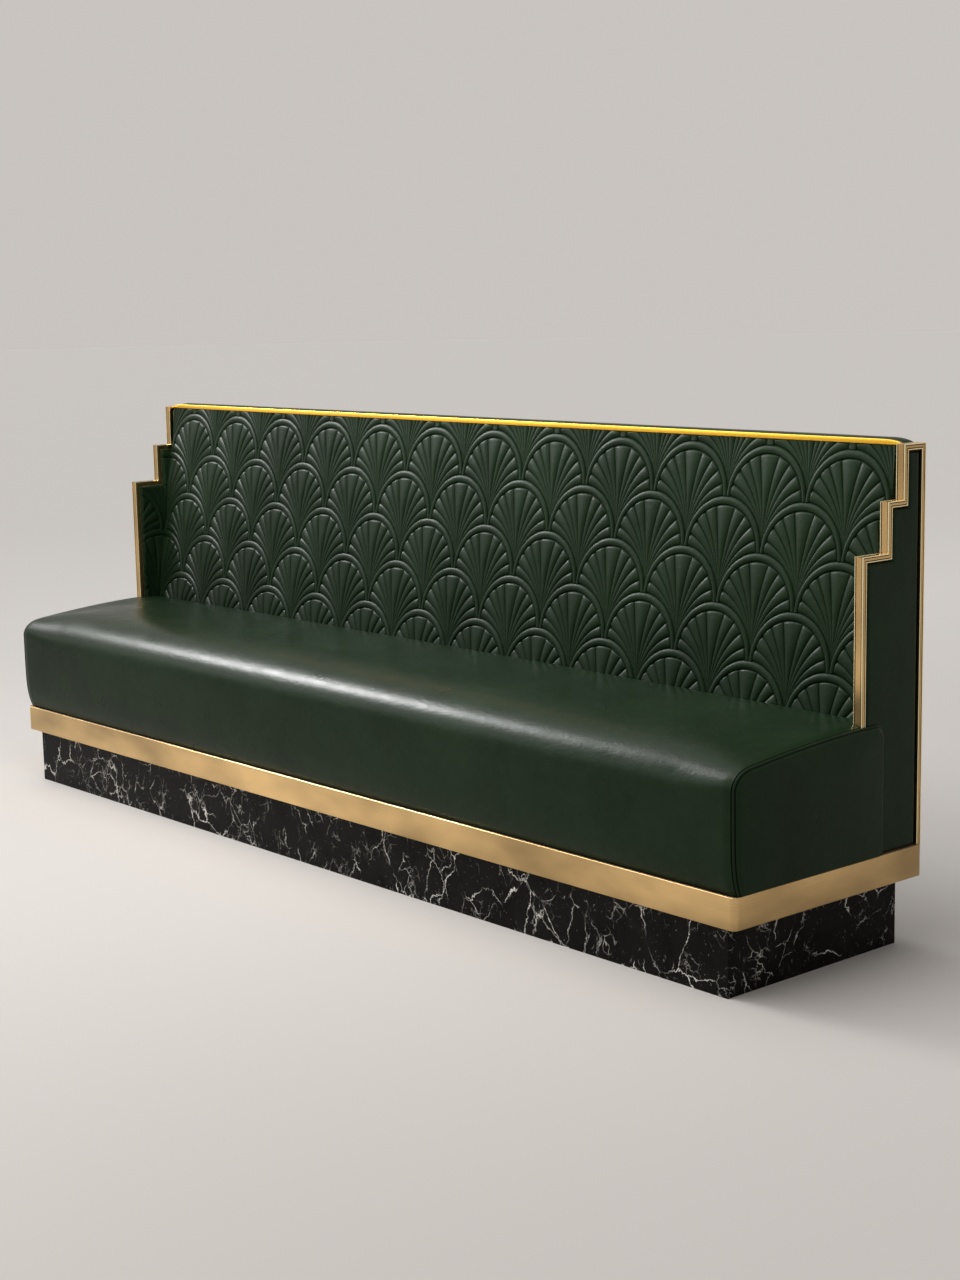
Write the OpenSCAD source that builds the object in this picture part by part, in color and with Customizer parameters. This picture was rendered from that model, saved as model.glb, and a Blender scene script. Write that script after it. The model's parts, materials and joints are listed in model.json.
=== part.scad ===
// Upholstered banquette bench: marble plinth, brass band, leather seat,
// quilted scallop back and stepped brass end frames. Millimetres.
// X runs along the bench, Y runs from the front to the back, Z is up.
// The origin is on the floor, in the middle of the bench.

/* [Overall] */
// Length over the brass band
bench_l = 2800; // [1800:50:3600]
// Depth over the brass band
bench_d = 590; // [570:5:680]
// Height to the top of the brass end frames
bench_h = 1070; // [1020:10:1200]
// Number of structural bays along the bench
bay_n = 6; // [3:1:10]

/* [Plinth] */
// Height of the marble plinth
plinth_h = 150; // [100:5:200]
// Setback of the plinth behind the front of the band
plinth_front_set = 22; // [15:1:60]
// Setback of the plinth inside each end of the band
plinth_end_set = 38; // [20:1:80]
// Setback of the plinth in front of the back of the band
plinth_back_set = 44; // [15:1:80]
// Thickness of a marble slab
slab_t = 20; // [12:1:30]
// Thickness of the timber boards inside the plinth
plinth_board_t = 18; // [12:1:25]

/* [Brass band] */
// Height of the brass band
band_h = 68; // [55:1:100]
// Thickness of the brass band
band_t = 3; // [2:0.5:5]
// Outer radius of the band's corners
band_r = 16; // [8:1:30]
// How far the band stands above the base rails
band_lip = 2; // [1:0.5:4]

/* [Base] */
// Thickness of the base board
base_board_t = 18; // [12:1:25]
// Width of a base rail
base_rail_w = 60; // [45:5:80]

/* [Seat] */
// Height of the seat top at its ends
seat_h = 503; // [450:1:540]
// Extra height of the seat's crown at mid length
seat_crown = 5; // [2:1:20]
// How far the leather bulges past the band
seat_bulge = 6; // [2:1:10]
// How far the leather is drawn in at its lower edge
seat_tuck = 8; // [4:1:12]
// Height of the soft round along the front top edge
round_h = 80; // [50:5:110]
// Depth of the soft round along the front top edge
round_d = 240; // [60:5:280]
// How full the soft round is: 1 makes a plain ellipse, less a squarer corner
round_power = 0.77; // [0.6:0.01:1]
// Thickness of the seat's leather cover with its wadding
cover_t = 10; // [6:1:14]
// Radius of the seat's rounded end edge
end_r = 18; // [10:1:24]
// How far the end border laps past the front of the end frame
lap_d = 70; // [40:5:90]
// Radius of the lap's rear top corner
lap_r = 20; // [10:1:30]
// Height of the plywood seat box
seat_box_h = 158; // [110:2:180]
// Thickness of the seat box boards
seat_board_t = 18; // [12:1:25]
// Number of webbing straps
strap_n = 22; // [10:1:30]
// Width of a webbing strap
strap_w = 60; // [40:5:80]
// Thickness of a webbing strap
strap_t = 2; // [1:0.5:3]

/* [Back] */
// Recline of the back from upright, in degrees
recline = 8.5; // [4:0.5:10]
// Thickness of the quilted cover with its wadding
quilt_t = 12; // [10:1:16]
// Thickness of the back foam
back_foam_t = 14; // [8:1:20]
// Thickness of the back board
back_board_t = 9; // [6:1:12]
// Thickness of a shaped back rib
rib_t = 18; // [12:1:25]
// Height of the rail at the foot of the back
foot_rail_h = 140; // [120:5:180]
// Thickness of the rail at the foot of the back
foot_rail_t = 22; // [15:1:30]
// Height of the rail along the top of the back
top_rail_h = 36; // [25:1:60]
// Thickness of the rear panel
rear_t = 9; // [6:1:12]
// Rise of the leather roll above the end frames
roll_rise = 10; // [6:1:20]
// Depth of the gold strip in front of the roll
strip_w = 8; // [5:0.5:9]
// Height of the gold strip
strip_h = 11; // [7:0.5:14]
// Length over which each end of the gold strip is eased down to the frame
strip_ease = 50; // [20:5:90]

/* [Scallops] */
// Number of scallops along an odd row
scallop_n = 12; // [6:1:18]
// Number of scallop rows, counted from the top
scallop_rows = 5; // [3:2:7]
// Width of the raised band along a scallop's arch
arch_w = 17; // [10:1:24]
// Depth of the sewn groove between scallops
groove_d = 8; // [4:0.5:9]
// Depth of the groove inside the raised band
inner_groove_d = 5; // [2:0.5:7]

/* [End frames] */
// Width of a brass bar along the bench
frame_w = 22; // [14:1:26]
// Depth of a brass bar in the plane of the end
frame_d = 13; // [8:1:18]
// Radius of the bar's eased edges
frame_r = 1.5; // [0.5:0.5:3]
// Setback of the frame inside the end and the back of the band
frame_set = 4; // [2:1:8]
// Depth of the frame's top from its third riser to the back
top_d = 70; // [66:1:110]
// Depth of the upper tread
tread2_d = 50; // [30:5:70]
// Depth of the lower tread
tread1_d = 80; // [50:5:100]
// Height of the third riser
riser3_h = 114; // [70:2:150]
// Height of the second riser
riser2_h = 106; // [60:2:150]
// Thickness of the core board inside the frame
core_t = 9; // [6:1:10]
// Gap around the leather infill
infill_gap = 3; // [2:0.5:5]
// How far the infill lies behind the face of the frame
infill_set = 2; // [1:0.5:4]
// Thickness of the padded facing inside each end
wing_t = 10; // [6:1:16]

/* [Hidden] */
$fn = 48;

// Clearance between neighbouring pieces, and overrun of cuts
fit = 0.3;
over = 10;

// Heights of the base and the seat box
base_z = plinth_h + band_h - band_lip;
box_z = base_z + seat_box_h;
deck_z = box_z + strap_t;
rail_h = base_z - plinth_h - base_board_t;

// Places across the bench: band, frame, end core and wing pad
x_band = bench_l / 2;
x_frame = x_band - frame_set;
x_in = x_frame - frame_w;
x_core = x_in + core_t;
x_wing = x_in - wing_t;
x_side = x_in - fit;

// The back's rear face, and the stepped outline of the end frames
rear = bench_d - frame_set;
step_y = [rear - top_d - tread2_d - tread1_d, rear - top_d - tread2_d, rear - top_d];
step_z = [bench_h - riser3_h - riser2_h, bench_h - riser3_h, bench_h];

// The quilted plane passes just in front of the third riser's back
quilt_tuck = 3;
quilt_top_z = bench_h - 4 * fit - quilt_tuck;
quilt_bury = 34;
quilt_margin = 12;
// Top of the framing under the leather roll
cap_z = bench_h - 2 * quilt_t;
// Inset of the seat box from the front of the band
box_y = seat_tuck + cover_t + cover_t;
// The back leans above this height. Below it the ribs stand upright, bolted to the seat box
lean_z = (base_z + foot_rail_h + seat_h) / 2;
back_w = quilt_t + back_foam_t + back_board_t;
joint_y = layer_y(back_w, lean_z);
// Soft corner at the top rear edge of the seat
rear_r = 12;
// Steps along the seat's front face, front round, lap corner and end edge
face_n = 4;
round_n = 8;
lap_n = 3;
end_n = 4;
seat_span_n = 12;

// Fasteners
bolt_d = 8;
bolt_head_d = 13;
bolt_head_h = 5.3;
bolt_tail = 3;
bolt_z = base_z + foot_rail_h / 2;
screw_d = 4;
screw_head_d = 8;
screw_head_h = 2;
screw_bite = 6;
screw_n = 4;

// Unit scallop: points along its arch, in sixths of a half turn
arch_n = 6;
own = 3 * (arch_n - 1) + 1;
quilt_w = 2 * (x_wing - fit);
pitch = quilt_w / scallop_n;
row_h = ((quilt_top_z - seat_h + quilt_bury) / cos(recline) - quilt_margin) / scallop_rows;
centre_share = 0.95;
foot_share = 0.55;
tip_share = 0.28;

marble = "#1b1c1e";
brass = "#b8924f";
gold = "#e2ab2c";
leather = "#24392d";
timber = "#b9905c";
foam = "#e6dcb4";
strap = "#3b3b3d";
steel = "#9aa0a6";

// Every piece is drawn from the front of the band, and moved to the middle here
module placed() translate([0, (seat_bulge - bench_d) / 2, 0]) children();

// Extrudes an outline in Y and Z along X
module along_x(x0, x1) translate([x0, 0, 0]) rotate([90, 0, 90]) linear_extrude(x1 - x0) children();

module block(x0, x1, y0, y1, z0, z1) translate([x0, y0, z0]) cube([x1 - x0, y1 - y0, z1 - z0]);

// Depth of a layer that lies w behind the quilted plane, at height z
function layer_y(w, z) = step_y[2] + frame_d - quilt_tuck - (bench_h - z) * tan(recline) + w / cos(recline);

// Bay lines along a length, without its two ends
function inner_bays(half) = [for (i = [1 : bay_n - 1]) -half + 2 * half * i / bay_n];

function centre(ring) = [for (k = [0 : 2]) [for (p = ring) p[k]] * [for (p = ring) 1] / len(ring)];

// Closed skin over rings along X with equal numbers of points. Its flat ends are fans
// round the hub, a place in Y and Z that sees the whole ring, or else round the centre
module loft(rings, hub = undef) {
    n = len(rings[0]);
    m = len(rings);
    hubs = [for (r = [rings[0], rings[m - 1]]) is_undef(hub) ? centre(r) : [r[0][0], hub[0], hub[1]]];
    sides = [for (j = [0 : m - 2], i = [0 : n - 1])
        let (a = j * n + i, b = j * n + (i + 1) % n) each [[a, b, b + n], [a, b + n, a + n]]];
    first = [for (i = [0 : n - 1]) [m * n, (i + 1) % n, i]];
    last = [for (i = [0 : n - 1]) [m * n + 1, (m - 1) * n + i, (m - 1) * n + (i + 1) % n]];
    polyhedron(concat([for (r = rings) each r], hubs), concat(sides, first, last));
}

function ring_at(x, outline) = [for (p = outline) [x, p[0], p[1]]];

// Plinth

px = x_band - plinth_end_set;
py0 = plinth_front_set;
py1 = bench_d - plinth_back_set;

module mitred_slab(length) {
    half = length / 2;
    linear_extrude(plinth_h)
        polygon([[-half, 0], [half, 0], [half - slab_t, slab_t], [slab_t - half, slab_t]]);
}

module plinth_front_slab() color(marble) placed() translate([0, py0, 0]) mitred_slab(2 * px);
module plinth_back_slab() color(marble) placed() translate([0, py1, 0]) rotate(180) mitred_slab(2 * px);
module plinth_end_slab() translate([px, (py0 + py1) / 2, 0]) rotate(90) mitred_slab(py1 - py0);
module plinth_right_slab() color(marble) placed() plinth_end_slab();
module plinth_left_slab() color(marble) placed() mirror([1, 0, 0]) plinth_end_slab();

pin_x = px - slab_t;
pin_y0 = py0 + slab_t;
pin_y1 = py1 - slab_t;

module plinth_long_boards() color(timber) placed() {
    block(-pin_x, pin_x, pin_y0, pin_y0 + plinth_board_t, 0, plinth_h);
    block(-pin_x, pin_x, pin_y1 - plinth_board_t, pin_y1, 0, plinth_h);
}

module plinth_cross_boards() color(timber) placed()
    for (x = concat([plinth_board_t / 2 - pin_x, pin_x - plinth_board_t / 2], inner_bays(pin_x)))
        block(x - plinth_board_t / 2, x + plinth_board_t / 2,
            pin_y0 + plinth_board_t, pin_y1 - plinth_board_t, 0, plinth_h);

// Base and brass band

bx = x_band - band_t - fit;
by0 = band_t + fit;
by1 = bench_d - band_t - fit;

// Rectangle with round corners, set in by e from the outside of the band
module band_outline(e) {
    r = band_r - e;
    for (x = [-1, 1], y = [band_r, bench_d - band_r]) translate([x * (x_band - band_r), y]) circle(r);
    translate([e - x_band, band_r]) square([2 * (x_band - e), bench_d - 2 * band_r]);
    translate([band_r - x_band, e]) square([2 * (x_band - band_r), bench_d - 2 * e]);
}

// Half-round edge along the top or the bottom of the band
module band_bead() {
    for (y = [band_t / 2, bench_d - band_t / 2]) translate([band_r - x_band, y, 0])
        rotate([0, 90, 0]) cylinder(h = 2 * (x_band - band_r), d = band_t);
    for (x = [-1, 1]) translate([x * (x_band - band_t / 2), band_r, 0])
        rotate([-90, 0, 0]) cylinder(h = bench_d - 2 * band_r, d = band_t);
    for (c = [[1, 1, 0], [-1, 1, 90], [-1, 0, 180], [1, 0, 270]])
        translate([c[0] * (x_band - band_r), c[1] == 1 ? bench_d - band_r : band_r, 0])
            rotate(c[2]) rotate_extrude(angle = 90) translate([band_r - band_t / 2, 0]) circle(d = band_t);
}

module brass_band() color(brass) placed() translate([0, 0, plinth_h]) {
    translate([0, 0, band_t / 2]) linear_extrude(band_h - band_t) difference() {
        band_outline(0);
        band_outline(band_t);
    }
    for (z = [band_t / 2, band_h - band_t / 2]) translate([0, 0, z]) band_bead();
}

module base_board() color(timber) placed() translate([0, 0, plinth_h])
    linear_extrude(base_board_t) band_outline(band_t + fit);

// The rails lie inside the round corners of the band
module base_ring() translate([0, 0, plinth_h + base_board_t]) linear_extrude(rail_h)
    band_outline(band_t + fit);

module base_long_rails() color(timber) placed() intersection() {
    base_ring();
    union() {
        block(-bx, bx, by0, by0 + base_rail_w, 0, bench_h);
        block(-bx, bx, by1 - base_rail_w, by1, 0, bench_h);
    }
}

module base_end_rails() color(timber) placed() for (s = [0, 1]) mirror([s, 0, 0])
    block(bx - base_rail_w, bx, by0 + base_rail_w, by1 - base_rail_w, plinth_h + base_board_t, base_z);

module base_cross_rails() color(timber) placed() for (x = inner_bays(bx))
    block(x - base_rail_w / 2, x + base_rail_w / 2, by0 + base_rail_w, by1 - base_rail_w,
        plinth_h + base_board_t, base_z);

// Seat box

module bolt_holes(d) for (i = [0 : bay_n - 1])
    translate([x_side * (2 * i + 1 - bay_n) / bay_n, joint_y - seat_board_t - over, bolt_z])
        rotate([-90, 0, 0]) cylinder(h = seat_board_t + foot_rail_t + 2 * over, d = d);

module seat_front_board() color(timber) placed()
    block(-x_side, x_side, box_y, box_y + seat_board_t, base_z, box_z);

module seat_back_board() color(timber) placed() difference() {
    block(-x_side, x_side, joint_y - seat_board_t, joint_y, base_z, box_z);
    bolt_holes(bolt_d + fit);
}

module seat_end_boards() color(timber) placed() for (s = [0, 1]) mirror([s, 0, 0])
    block(x_side - seat_board_t, x_side, box_y + seat_board_t, joint_y - seat_board_t, base_z, box_z);

// The ribs stop short of the webbing, so that it can give
module seat_ribs() color(timber) placed() for (x = inner_bays(x_side))
    block(x - seat_board_t / 2, x + seat_board_t / 2, box_y + seat_board_t, joint_y - seat_board_t,
        base_z, box_z - seat_board_t);

module seat_webbing() color(strap) placed() for (i = [0 : strap_n - 1])
    let (x = (x_side - strap_w) * (2 * i / (strap_n - 1) - 1))
        block(x - strap_w / 2, x + strap_w / 2, box_y, joint_y, box_z, deck_z);

// Seat cushion

// Front and top of the seat's outline from the height low, set in by e, with a crown of c
function seat_front(c, e, low) = concat(
    [for (i = [0 : face_n]) let (t = i / face_n)
        [e - seat_bulge + (seat_tuck + seat_bulge) * pow(1 - t, 4), low + t * (seat_h + c - round_h - low)]],
    [for (i = [1 : round_n]) let (a = 90 * i / round_n)
        [round_d - seat_bulge - (round_d - e) * pow(cos(a), round_power),
         seat_h + c - round_h + (round_h - e) * pow(sin(a), round_power)]]);

// The seat's rear face leans against the quilted back
function seat_outline(c, e, low) = let (top = seat_h + c - e, w = -fit - e) concat(
    seat_front(c, e, low),
    [[layer_y(w, top) - rear_r, top],
     [layer_y(w, top) - rear_r * (1 - sin(45)), top - rear_r * (1 - cos(45))],
     [layer_y(w, top - rear_r), top - rear_r],
     [layer_y(w, deck_z), deck_z],
     [layer_y(w, deck_z), low]]);

// Core of the cushion, down to the height low
module seat_core(low) along_x(cover_t - x_side, x_side - cover_t) polygon(seat_outline(0, cover_t, low));
module box_space() block(-x_band, x_band, box_y, bench_d, base_z - over, deck_z);

module seat_foam() color(foam) placed() difference() {
    seat_core(base_z);
    box_space();
}

module seat_cover() color(leather) placed() difference() {
    loft([for (i = [0 : seat_span_n]) let (s = 2 * i / seat_span_n - 1)
        ring_at(s * x_side, seat_outline(seat_crown * (1 - s * s), 0, base_z))]);
    seat_core(base_z - over);
    box_space();
}

// End border of the seat: a pad that laps past the front of the end frame
lap_y = step_y[0] + lap_d;
x_end = x_band + seat_bulge;

function end_outline(e) = let (top = seat_h - e) concat(
    seat_front(0, e, base_z + e),
    [for (i = [0 : lap_n]) let (a = 90 * i / lap_n)
        [lap_y - e - lap_r * (1 - sin(a)), top - lap_r * (1 - cos(a))]],
    [[lap_y - e, base_z + e]]);

module seat_end_pad() difference() {
    loft(concat([ring_at(x_in, end_outline(0))], [for (i = [0 : end_n]) let (a = 90 * i / end_n)
        ring_at(x_end - end_r * (1 - sin(a)), end_outline(end_r * (1 - cos(a))))]));
    block(x_in - over, x_frame + fit, step_y[0] - fit, bench_d, base_z - over, bench_h);
}

module seat_end_pad_right() color(leather) placed() seat_end_pad();
module seat_end_pad_left() color(leather) placed() mirror([1, 0, 0]) seat_end_pad();

// Back carcass

rear_y = rear - rear_t;
rail_z = cap_z - top_rail_h;

function rib_outline() = [
    [joint_y + foot_rail_t, base_z], [joint_y + foot_rail_t, base_z + foot_rail_h],
    [joint_y, base_z + foot_rail_h], [joint_y, lean_z],
    [layer_y(back_w, rail_z), rail_z], [rear_y, rail_z], [rear_y, base_z]];

module core_screw_at(x) for (i = [0 : screw_n - 1])
    translate([x, rear_y - rib_t, base_z + (rail_z - base_z) * (2 * i + 1) / (2 * screw_n)])
        rotate([0, 90, 0]) children();

module end_rib() difference() {
    along_x(x_side - rib_t, x_side) polygon(rib_outline());
    core_screw_at(x_side - rib_t - over) cylinder(h = rib_t + 2 * over, d = screw_d + fit);
}

module back_ribs() color(timber) placed() {
    end_rib();
    mirror([1, 0, 0]) end_rib();
    for (x = inner_bays(x_side)) along_x(x - rib_t / 2, x + rib_t / 2) polygon(rib_outline());
}

module back_foot_rail() color(timber) placed() difference() {
    block(-x_side, x_side, joint_y, joint_y + foot_rail_t, base_z, base_z + foot_rail_h);
    bolt_holes(bolt_d + fit);
}

module back_top_rail() color(timber) placed() along_x(-x_side, x_side)
    polygon([[layer_y(back_w, rail_z), rail_z], [layer_y(back_w, cap_z), cap_z],
        [rear_y, cap_z], [rear_y, rail_z]]);

// A sloping layer of the back, from w0 to w1 behind the quilted plane
module layer(half, w0, w1, z0, z1) along_x(-half, half)
    polygon([[layer_y(w0, z0), z0], [layer_y(w0, z1), z1], [layer_y(w1, z1), z1], [layer_y(w1, z0), z0]]);

module back_board() color(timber) placed() layer(x_side, quilt_t + back_foam_t, back_w, lean_z, cap_z);
module back_foam() color(foam) placed()
    layer(quilt_w / 2, quilt_t, quilt_t + back_foam_t, seat_h - quilt_bury - back_board_t, cap_z);

module rear_panel() color(leather) placed() block(-x_side, x_side, rear_y, rear, base_z, cap_z);

// Quilted scallop cover. Places on it are [u, v, w]: along the bench, down the slope, and
// behind the front plane. A scallop owns the points of its arch, its raised band, the groove
// inside the band, and the crown of its pillow. Its arch ends at the tops of the row below.

function odd_row(k) = k % 2 == 1;
function scallops_in(k) = odd_row(k) ? scallop_n : scallop_n + 1;
function before_row(k) = k < 2 ? 0 : before_row(k - 1) + scallops_in(k - 1);
function centre_u(k, i) = (i - (scallops_in(k) - 1) / 2) * pitch;
function top_v(k) = quilt_margin + (k - 1) * row_h;
function arch_point(k, i, j, e, w) = let (a = 180 * j / arch_n)
    [centre_u(k, i) - (pitch / 2 - e) * cos(a), top_v(k) + row_h - (row_h - e) * sin(a), w];

function scallop_points(k, i) = concat(
    [for (j = [1 : arch_n - 1]) arch_point(k, i, j, 0, groove_d)],
    [for (j = [1 : arch_n - 1]) arch_point(k, i, j, arch_w / 2, 0)],
    [for (j = [1 : arch_n - 1]) arch_point(k, i, j, arch_w, inner_groove_d)],
    [[centre_u(k, i), top_v(k) + row_h * (k < scallop_rows ? centre_share : foot_share), 0]]);

owned = own * before_row(scallop_rows + 1);
foot_v = top_v(scallop_rows + 1);

// Numbers of the points: a scallop's own, the foot line, the top line and the top tips
function at(k, i, set, j) = own * (before_row(k) + i) + (arch_n - 1) * set + j - 1;
function crown_at(k, i) = own * (before_row(k) + i) + own - 1;
function foot_at(i) = owned + i;
function top_at(m) = owned + scallop_n + 1 + m;
function tip_at(i) = top_at(2 * scallop_n + 1) + i;
function peak_at(k, i) = k > scallop_rows ? foot_at(i) : at(k, i, 0, arch_n / 2);
// The ends of an arch are the peaks of the next row, to the left and right
function left_end(k, i) = peak_at(k + 1, odd_row(k) ? i : i - 1);
function right_end(k, i) = peak_at(k + 1, odd_row(k) ? i + 1 : i);

quilt_front = concat(
    [for (k = [1 : scallop_rows], i = [0 : scallops_in(k) - 1]) each scallop_points(k, i)],
    [for (i = [0 : scallop_n]) [(i - scallop_n / 2) * pitch, foot_v, groove_d]],
    [for (m = [0 : 2 * scallop_n]) [(m - scallop_n) * pitch / 2, 0, inner_groove_d]],
    [for (i = [0 : scallop_n]) [(i - scallop_n / 2) * pitch, quilt_margin + row_h * tip_share, 0]]);

// Triangles of a fan round c, over the points of a list
function fan(c, list) = [for (i = [0 : len(list) - 2]) [c, list[i], list[i + 1]]];
// Triangles of a strip between two lists that meet at their last point
function strip(a, b, last) = concat(
    [for (i = [0 : len(a) - 2]) each [[a[i], a[i + 1], b[i + 1]], [a[i], b[i + 1], b[i]]]],
    [[a[len(a) - 1], last, b[len(b) - 1]]]);
function turned(list) = [for (f = list) [f[0], f[2], f[1]]];

half_n = arch_n / 2;
function right_arc(k, i, set) = [for (j = [half_n : arch_n - 1]) at(k, i, set, j)];
function left_arc(k, i, set) = [for (j = [half_n : -1 : 1]) at(k, i, set, j)];

// The pillow's right and left halves, down to the tip between the arches below
function right_half(k, i) = let (
        last = right_end(k, i),
        below = odd_row(k) ? i + 1 : i,
        tail = k < scallop_rows ? concat(left_arc(k + 1, below, 0), [left_end(k + 1, below)]) : [last])
    concat(strip(right_arc(k, i, 0), right_arc(k, i, 1), last),
        strip(right_arc(k, i, 1), right_arc(k, i, 2), last),
        fan(crown_at(k, i), concat(right_arc(k, i, 2), tail)));
function left_half(k, i) = let (
        last = left_end(k, i),
        below = odd_row(k) ? i : i - 1,
        tail = k < scallop_rows ? concat(right_arc(k + 1, below, 0), [right_end(k + 1, below)]) : [last])
    turned(concat(strip(left_arc(k, i, 0), left_arc(k, i, 1), last),
        strip(left_arc(k, i, 1), left_arc(k, i, 2), last),
        fan(crown_at(k, i), concat(left_arc(k, i, 2), tail))));

// An even row has a half scallop at each end
function scallop_faces(k, i) = concat(
    odd_row(k) || i < scallop_n ? right_half(k, i) : [],
    odd_row(k) || i > 0 ? left_half(k, i) : [],
    k == scallop_rows ? [[crown_at(k, i), right_end(k, i), left_end(k, i)]] : []);
function tip_faces(i) = concat(
    i < scallop_n ? fan(tip_at(i),
        concat([top_at(2 * i), top_at(2 * i + 1)], left_arc(1, i, 0), [left_end(1, i)])) : [],
    i > 0 ? turned(fan(tip_at(i),
        concat([top_at(2 * i), top_at(2 * i - 1)], right_arc(1, i - 1, 0), [right_end(1, i - 1)]))) : []);

// Points down one side of the cover
function side_line(end) = concat([tip_at(end)],
    [for (k = [2 : 2 : scallop_rows]) each
        [at(k, end, 0, half_n), at(k, end, 1, half_n), at(k, end, 2, half_n), crown_at(k, end)]]);

rim = concat([for (m = [0 : 2 * scallop_n]) top_at(m)], side_line(scallop_n),
    [for (i = [scallop_n : -1 : 0]) foot_at(i)],
    let (line = side_line(0)) [for (i = [len(line) - 1 : -1 : 0]) line[i]]);
rim_n = len(rim);
front_n = len(quilt_front);
quilt_points = concat(quilt_front,
    [for (r = rim) [quilt_front[r][0], quilt_front[r][1], quilt_t]], [[0, foot_v / 2, quilt_t]]);
quilt_faces = concat(
    [for (k = [1 : scallop_rows], i = [0 : scallops_in(k) - 1]) each scallop_faces(k, i)],
    [for (i = [0 : scallop_n]) each tip_faces(i)],
    [for (i = [0 : rim_n - 1]) let (n = (i + 1) % rim_n)
        each [[rim[i], front_n + i, front_n + n], [rim[i], front_n + n, rim[n]],
            [front_n + i, front_n + rim_n, front_n + n]]]);

module quilted_back() color(leather) placed()
    translate([0, layer_y(0, quilt_top_z), quilt_top_z]) rotate([-recline, 0, 0])
        polyhedron([for (p = quilt_points) [p[0], p[2], -p[1]]], quilt_faces);

// Leather roll and gold strip along the top

roll_y0 = layer_y(quilt_t, quilt_top_z) + fit;
strip_y0 = roll_y0 - strip_w - fit;
roll_end_shares = [0, 0.004, 0.012, 0.024, 0.06, 0.5, 0.94, 0.976, 0.988, 0.996, 1];
roll_drop_shares = [0.9, 0.55, 0.25, 0.08, 0, 0, 0, 0.08, 0.25, 0.55, 0.9];
roll_n = 8;
strip_n = 8;
strip_end_share = 0.3;

function roll_outline(drop) = let (
        half = (rear - roll_y0) / 2,
        low = quilt_top_z - strip_w / 2,
        rise = bench_h + roll_rise - low - drop)
    concat([[rear, cap_z], [roll_y0, cap_z]],
        [for (i = [0 : roll_n]) let (a = 180 * i / roll_n)
            [roll_y0 + half * (1 - cos(a)), low + rise * pow(sin(a), 0.6)]]);

module top_roll() color(leather) placed()
    loft([for (i = [0 : len(roll_end_shares) - 1])
        ring_at(x_side * (2 * roll_end_shares[i] - 1), roll_outline(roll_rise * roll_drop_shares[i]))]);

// Upper edge of the strip towards one end, -1 for the left and 1 for the right
function strip_top(end) = [for (i = [0 : strip_n]) let (a = 90 * i / strip_n)
    [end * (x_side - strip_ease * (1 - sin(a))), strip_h * (strip_end_share + (1 - strip_end_share) * cos(a))]];

module gold_strip() color(gold) placed() translate([0, strip_y0 + strip_w, quilt_top_z + fit])
    rotate([90, 0, 0]) linear_extrude(strip_w) polygon(concat([[-x_side, 0], [x_side, 0]],
        [for (i = [strip_n : -1 : 0]) strip_top(1)[i]], strip_top(-1)));

// Ends

// Stepped outline of an end, set in by e from the outside of the frame
function step_outline(e) = [
    [step_y[0] + e, base_z], [step_y[0] + e, step_z[0] - e],
    [step_y[1] + e, step_z[0] - e], [step_y[1] + e, step_z[1] - e],
    [step_y[2] + e, step_z[1] - e], [step_y[2] + e, step_z[2] - e],
    [rear - e, step_z[2] - e], [rear - e, base_z]];

module bar_section() {
    for (x = [frame_r, frame_w - frame_r], y = [frame_r, frame_d - frame_r])
        translate([x, y - frame_d / 2]) circle(frame_r);
    translate([frame_r, -frame_d / 2]) square([frame_w - 2 * frame_r, frame_d]);
    translate([0, frame_r - frame_d / 2]) square([frame_w, frame_d - 2 * frame_r]);
}

function heading(a, b) = atan2(b[1] - a[1], b[0] - a[0]);
// 1 where the path turns left at a corner, -1 where it turns right
function turn(a, b, c) = sin(heading(b, c) - heading(a, b)) > 0 ? 1 : -1;

// A bar from p to q. Its ends are cut square, or mitred by the turn there
module bar(p, q, turn_p, turn_q) {
    length = norm(q - p);
    translate([0, p[0], p[1]]) rotate([heading(p, q), 0, 0]) intersection() {
        translate([0, -frame_d, 0]) rotate([-90, 0, 0]) linear_extrude(length + 2 * frame_d) bar_section();
        along_x(-frame_d, frame_w + frame_d) polygon([
            [-frame_d * turn_p, -frame_d], [length + frame_d * turn_q, -frame_d],
            [length - frame_d * turn_q, frame_d], [frame_d * turn_p, frame_d]]);
    }
}

module end_frame() {
    path = step_outline(frame_d / 2);
    n = len(path);
    translate([x_in, 0, 0]) for (i = [0 : n - 2])
        bar(path[i], path[i + 1], i > 0 ? turn(path[i - 1], path[i], path[i + 1]) : 0,
            i < n - 2 ? turn(path[i], path[i + 1], path[i + 2]) : 0);
}

module end_core() difference() {
    along_x(x_in, x_core) polygon(step_outline(frame_d));
    core_screw_at(x_in - over) cylinder(h = over + screw_bite + fit, d = screw_d + fit);
}

// Padded leather infill with rounded edges, as steps of depth and set-in
infill_shares = [[0, 0], [0.35, 0], [0.8, 0.3], [1, 1]];

module end_infill() {
    soft = x_frame - infill_set - x_core;
    loft([for (s = infill_shares)
            ring_at(x_core + soft * s[0], step_outline(frame_d + infill_gap + soft * s[1]))],
        hub = [(step_y[2] + rear) / 2, (base_z + step_z[0]) / 2]);
}

// Padded facing on the inner side of an end: in front of the quilting inside the lower steps,
// and beside it above them
module wing_pad() {
    e = frame_d + fit;
    low = seat_h + fit;
    high = step_z[1] - e;
    cap = cap_z - fit;
    w = quilt_t + back_foam_t - fit;
    along_x(x_wing, x_in) polygon([
        [step_y[0] + e, low], [step_y[0] + e, step_z[0] - e],
        [step_y[1] + e, step_z[0] - e], [step_y[1] + e, high],
        [layer_y(0, high), high], [layer_y(0, quilt_top_z), quilt_top_z],
        [roll_y0 - fit, quilt_top_z], [roll_y0 - fit, cap], [layer_y(w, cap), cap], [layer_y(w, low), low]]);
}

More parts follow.
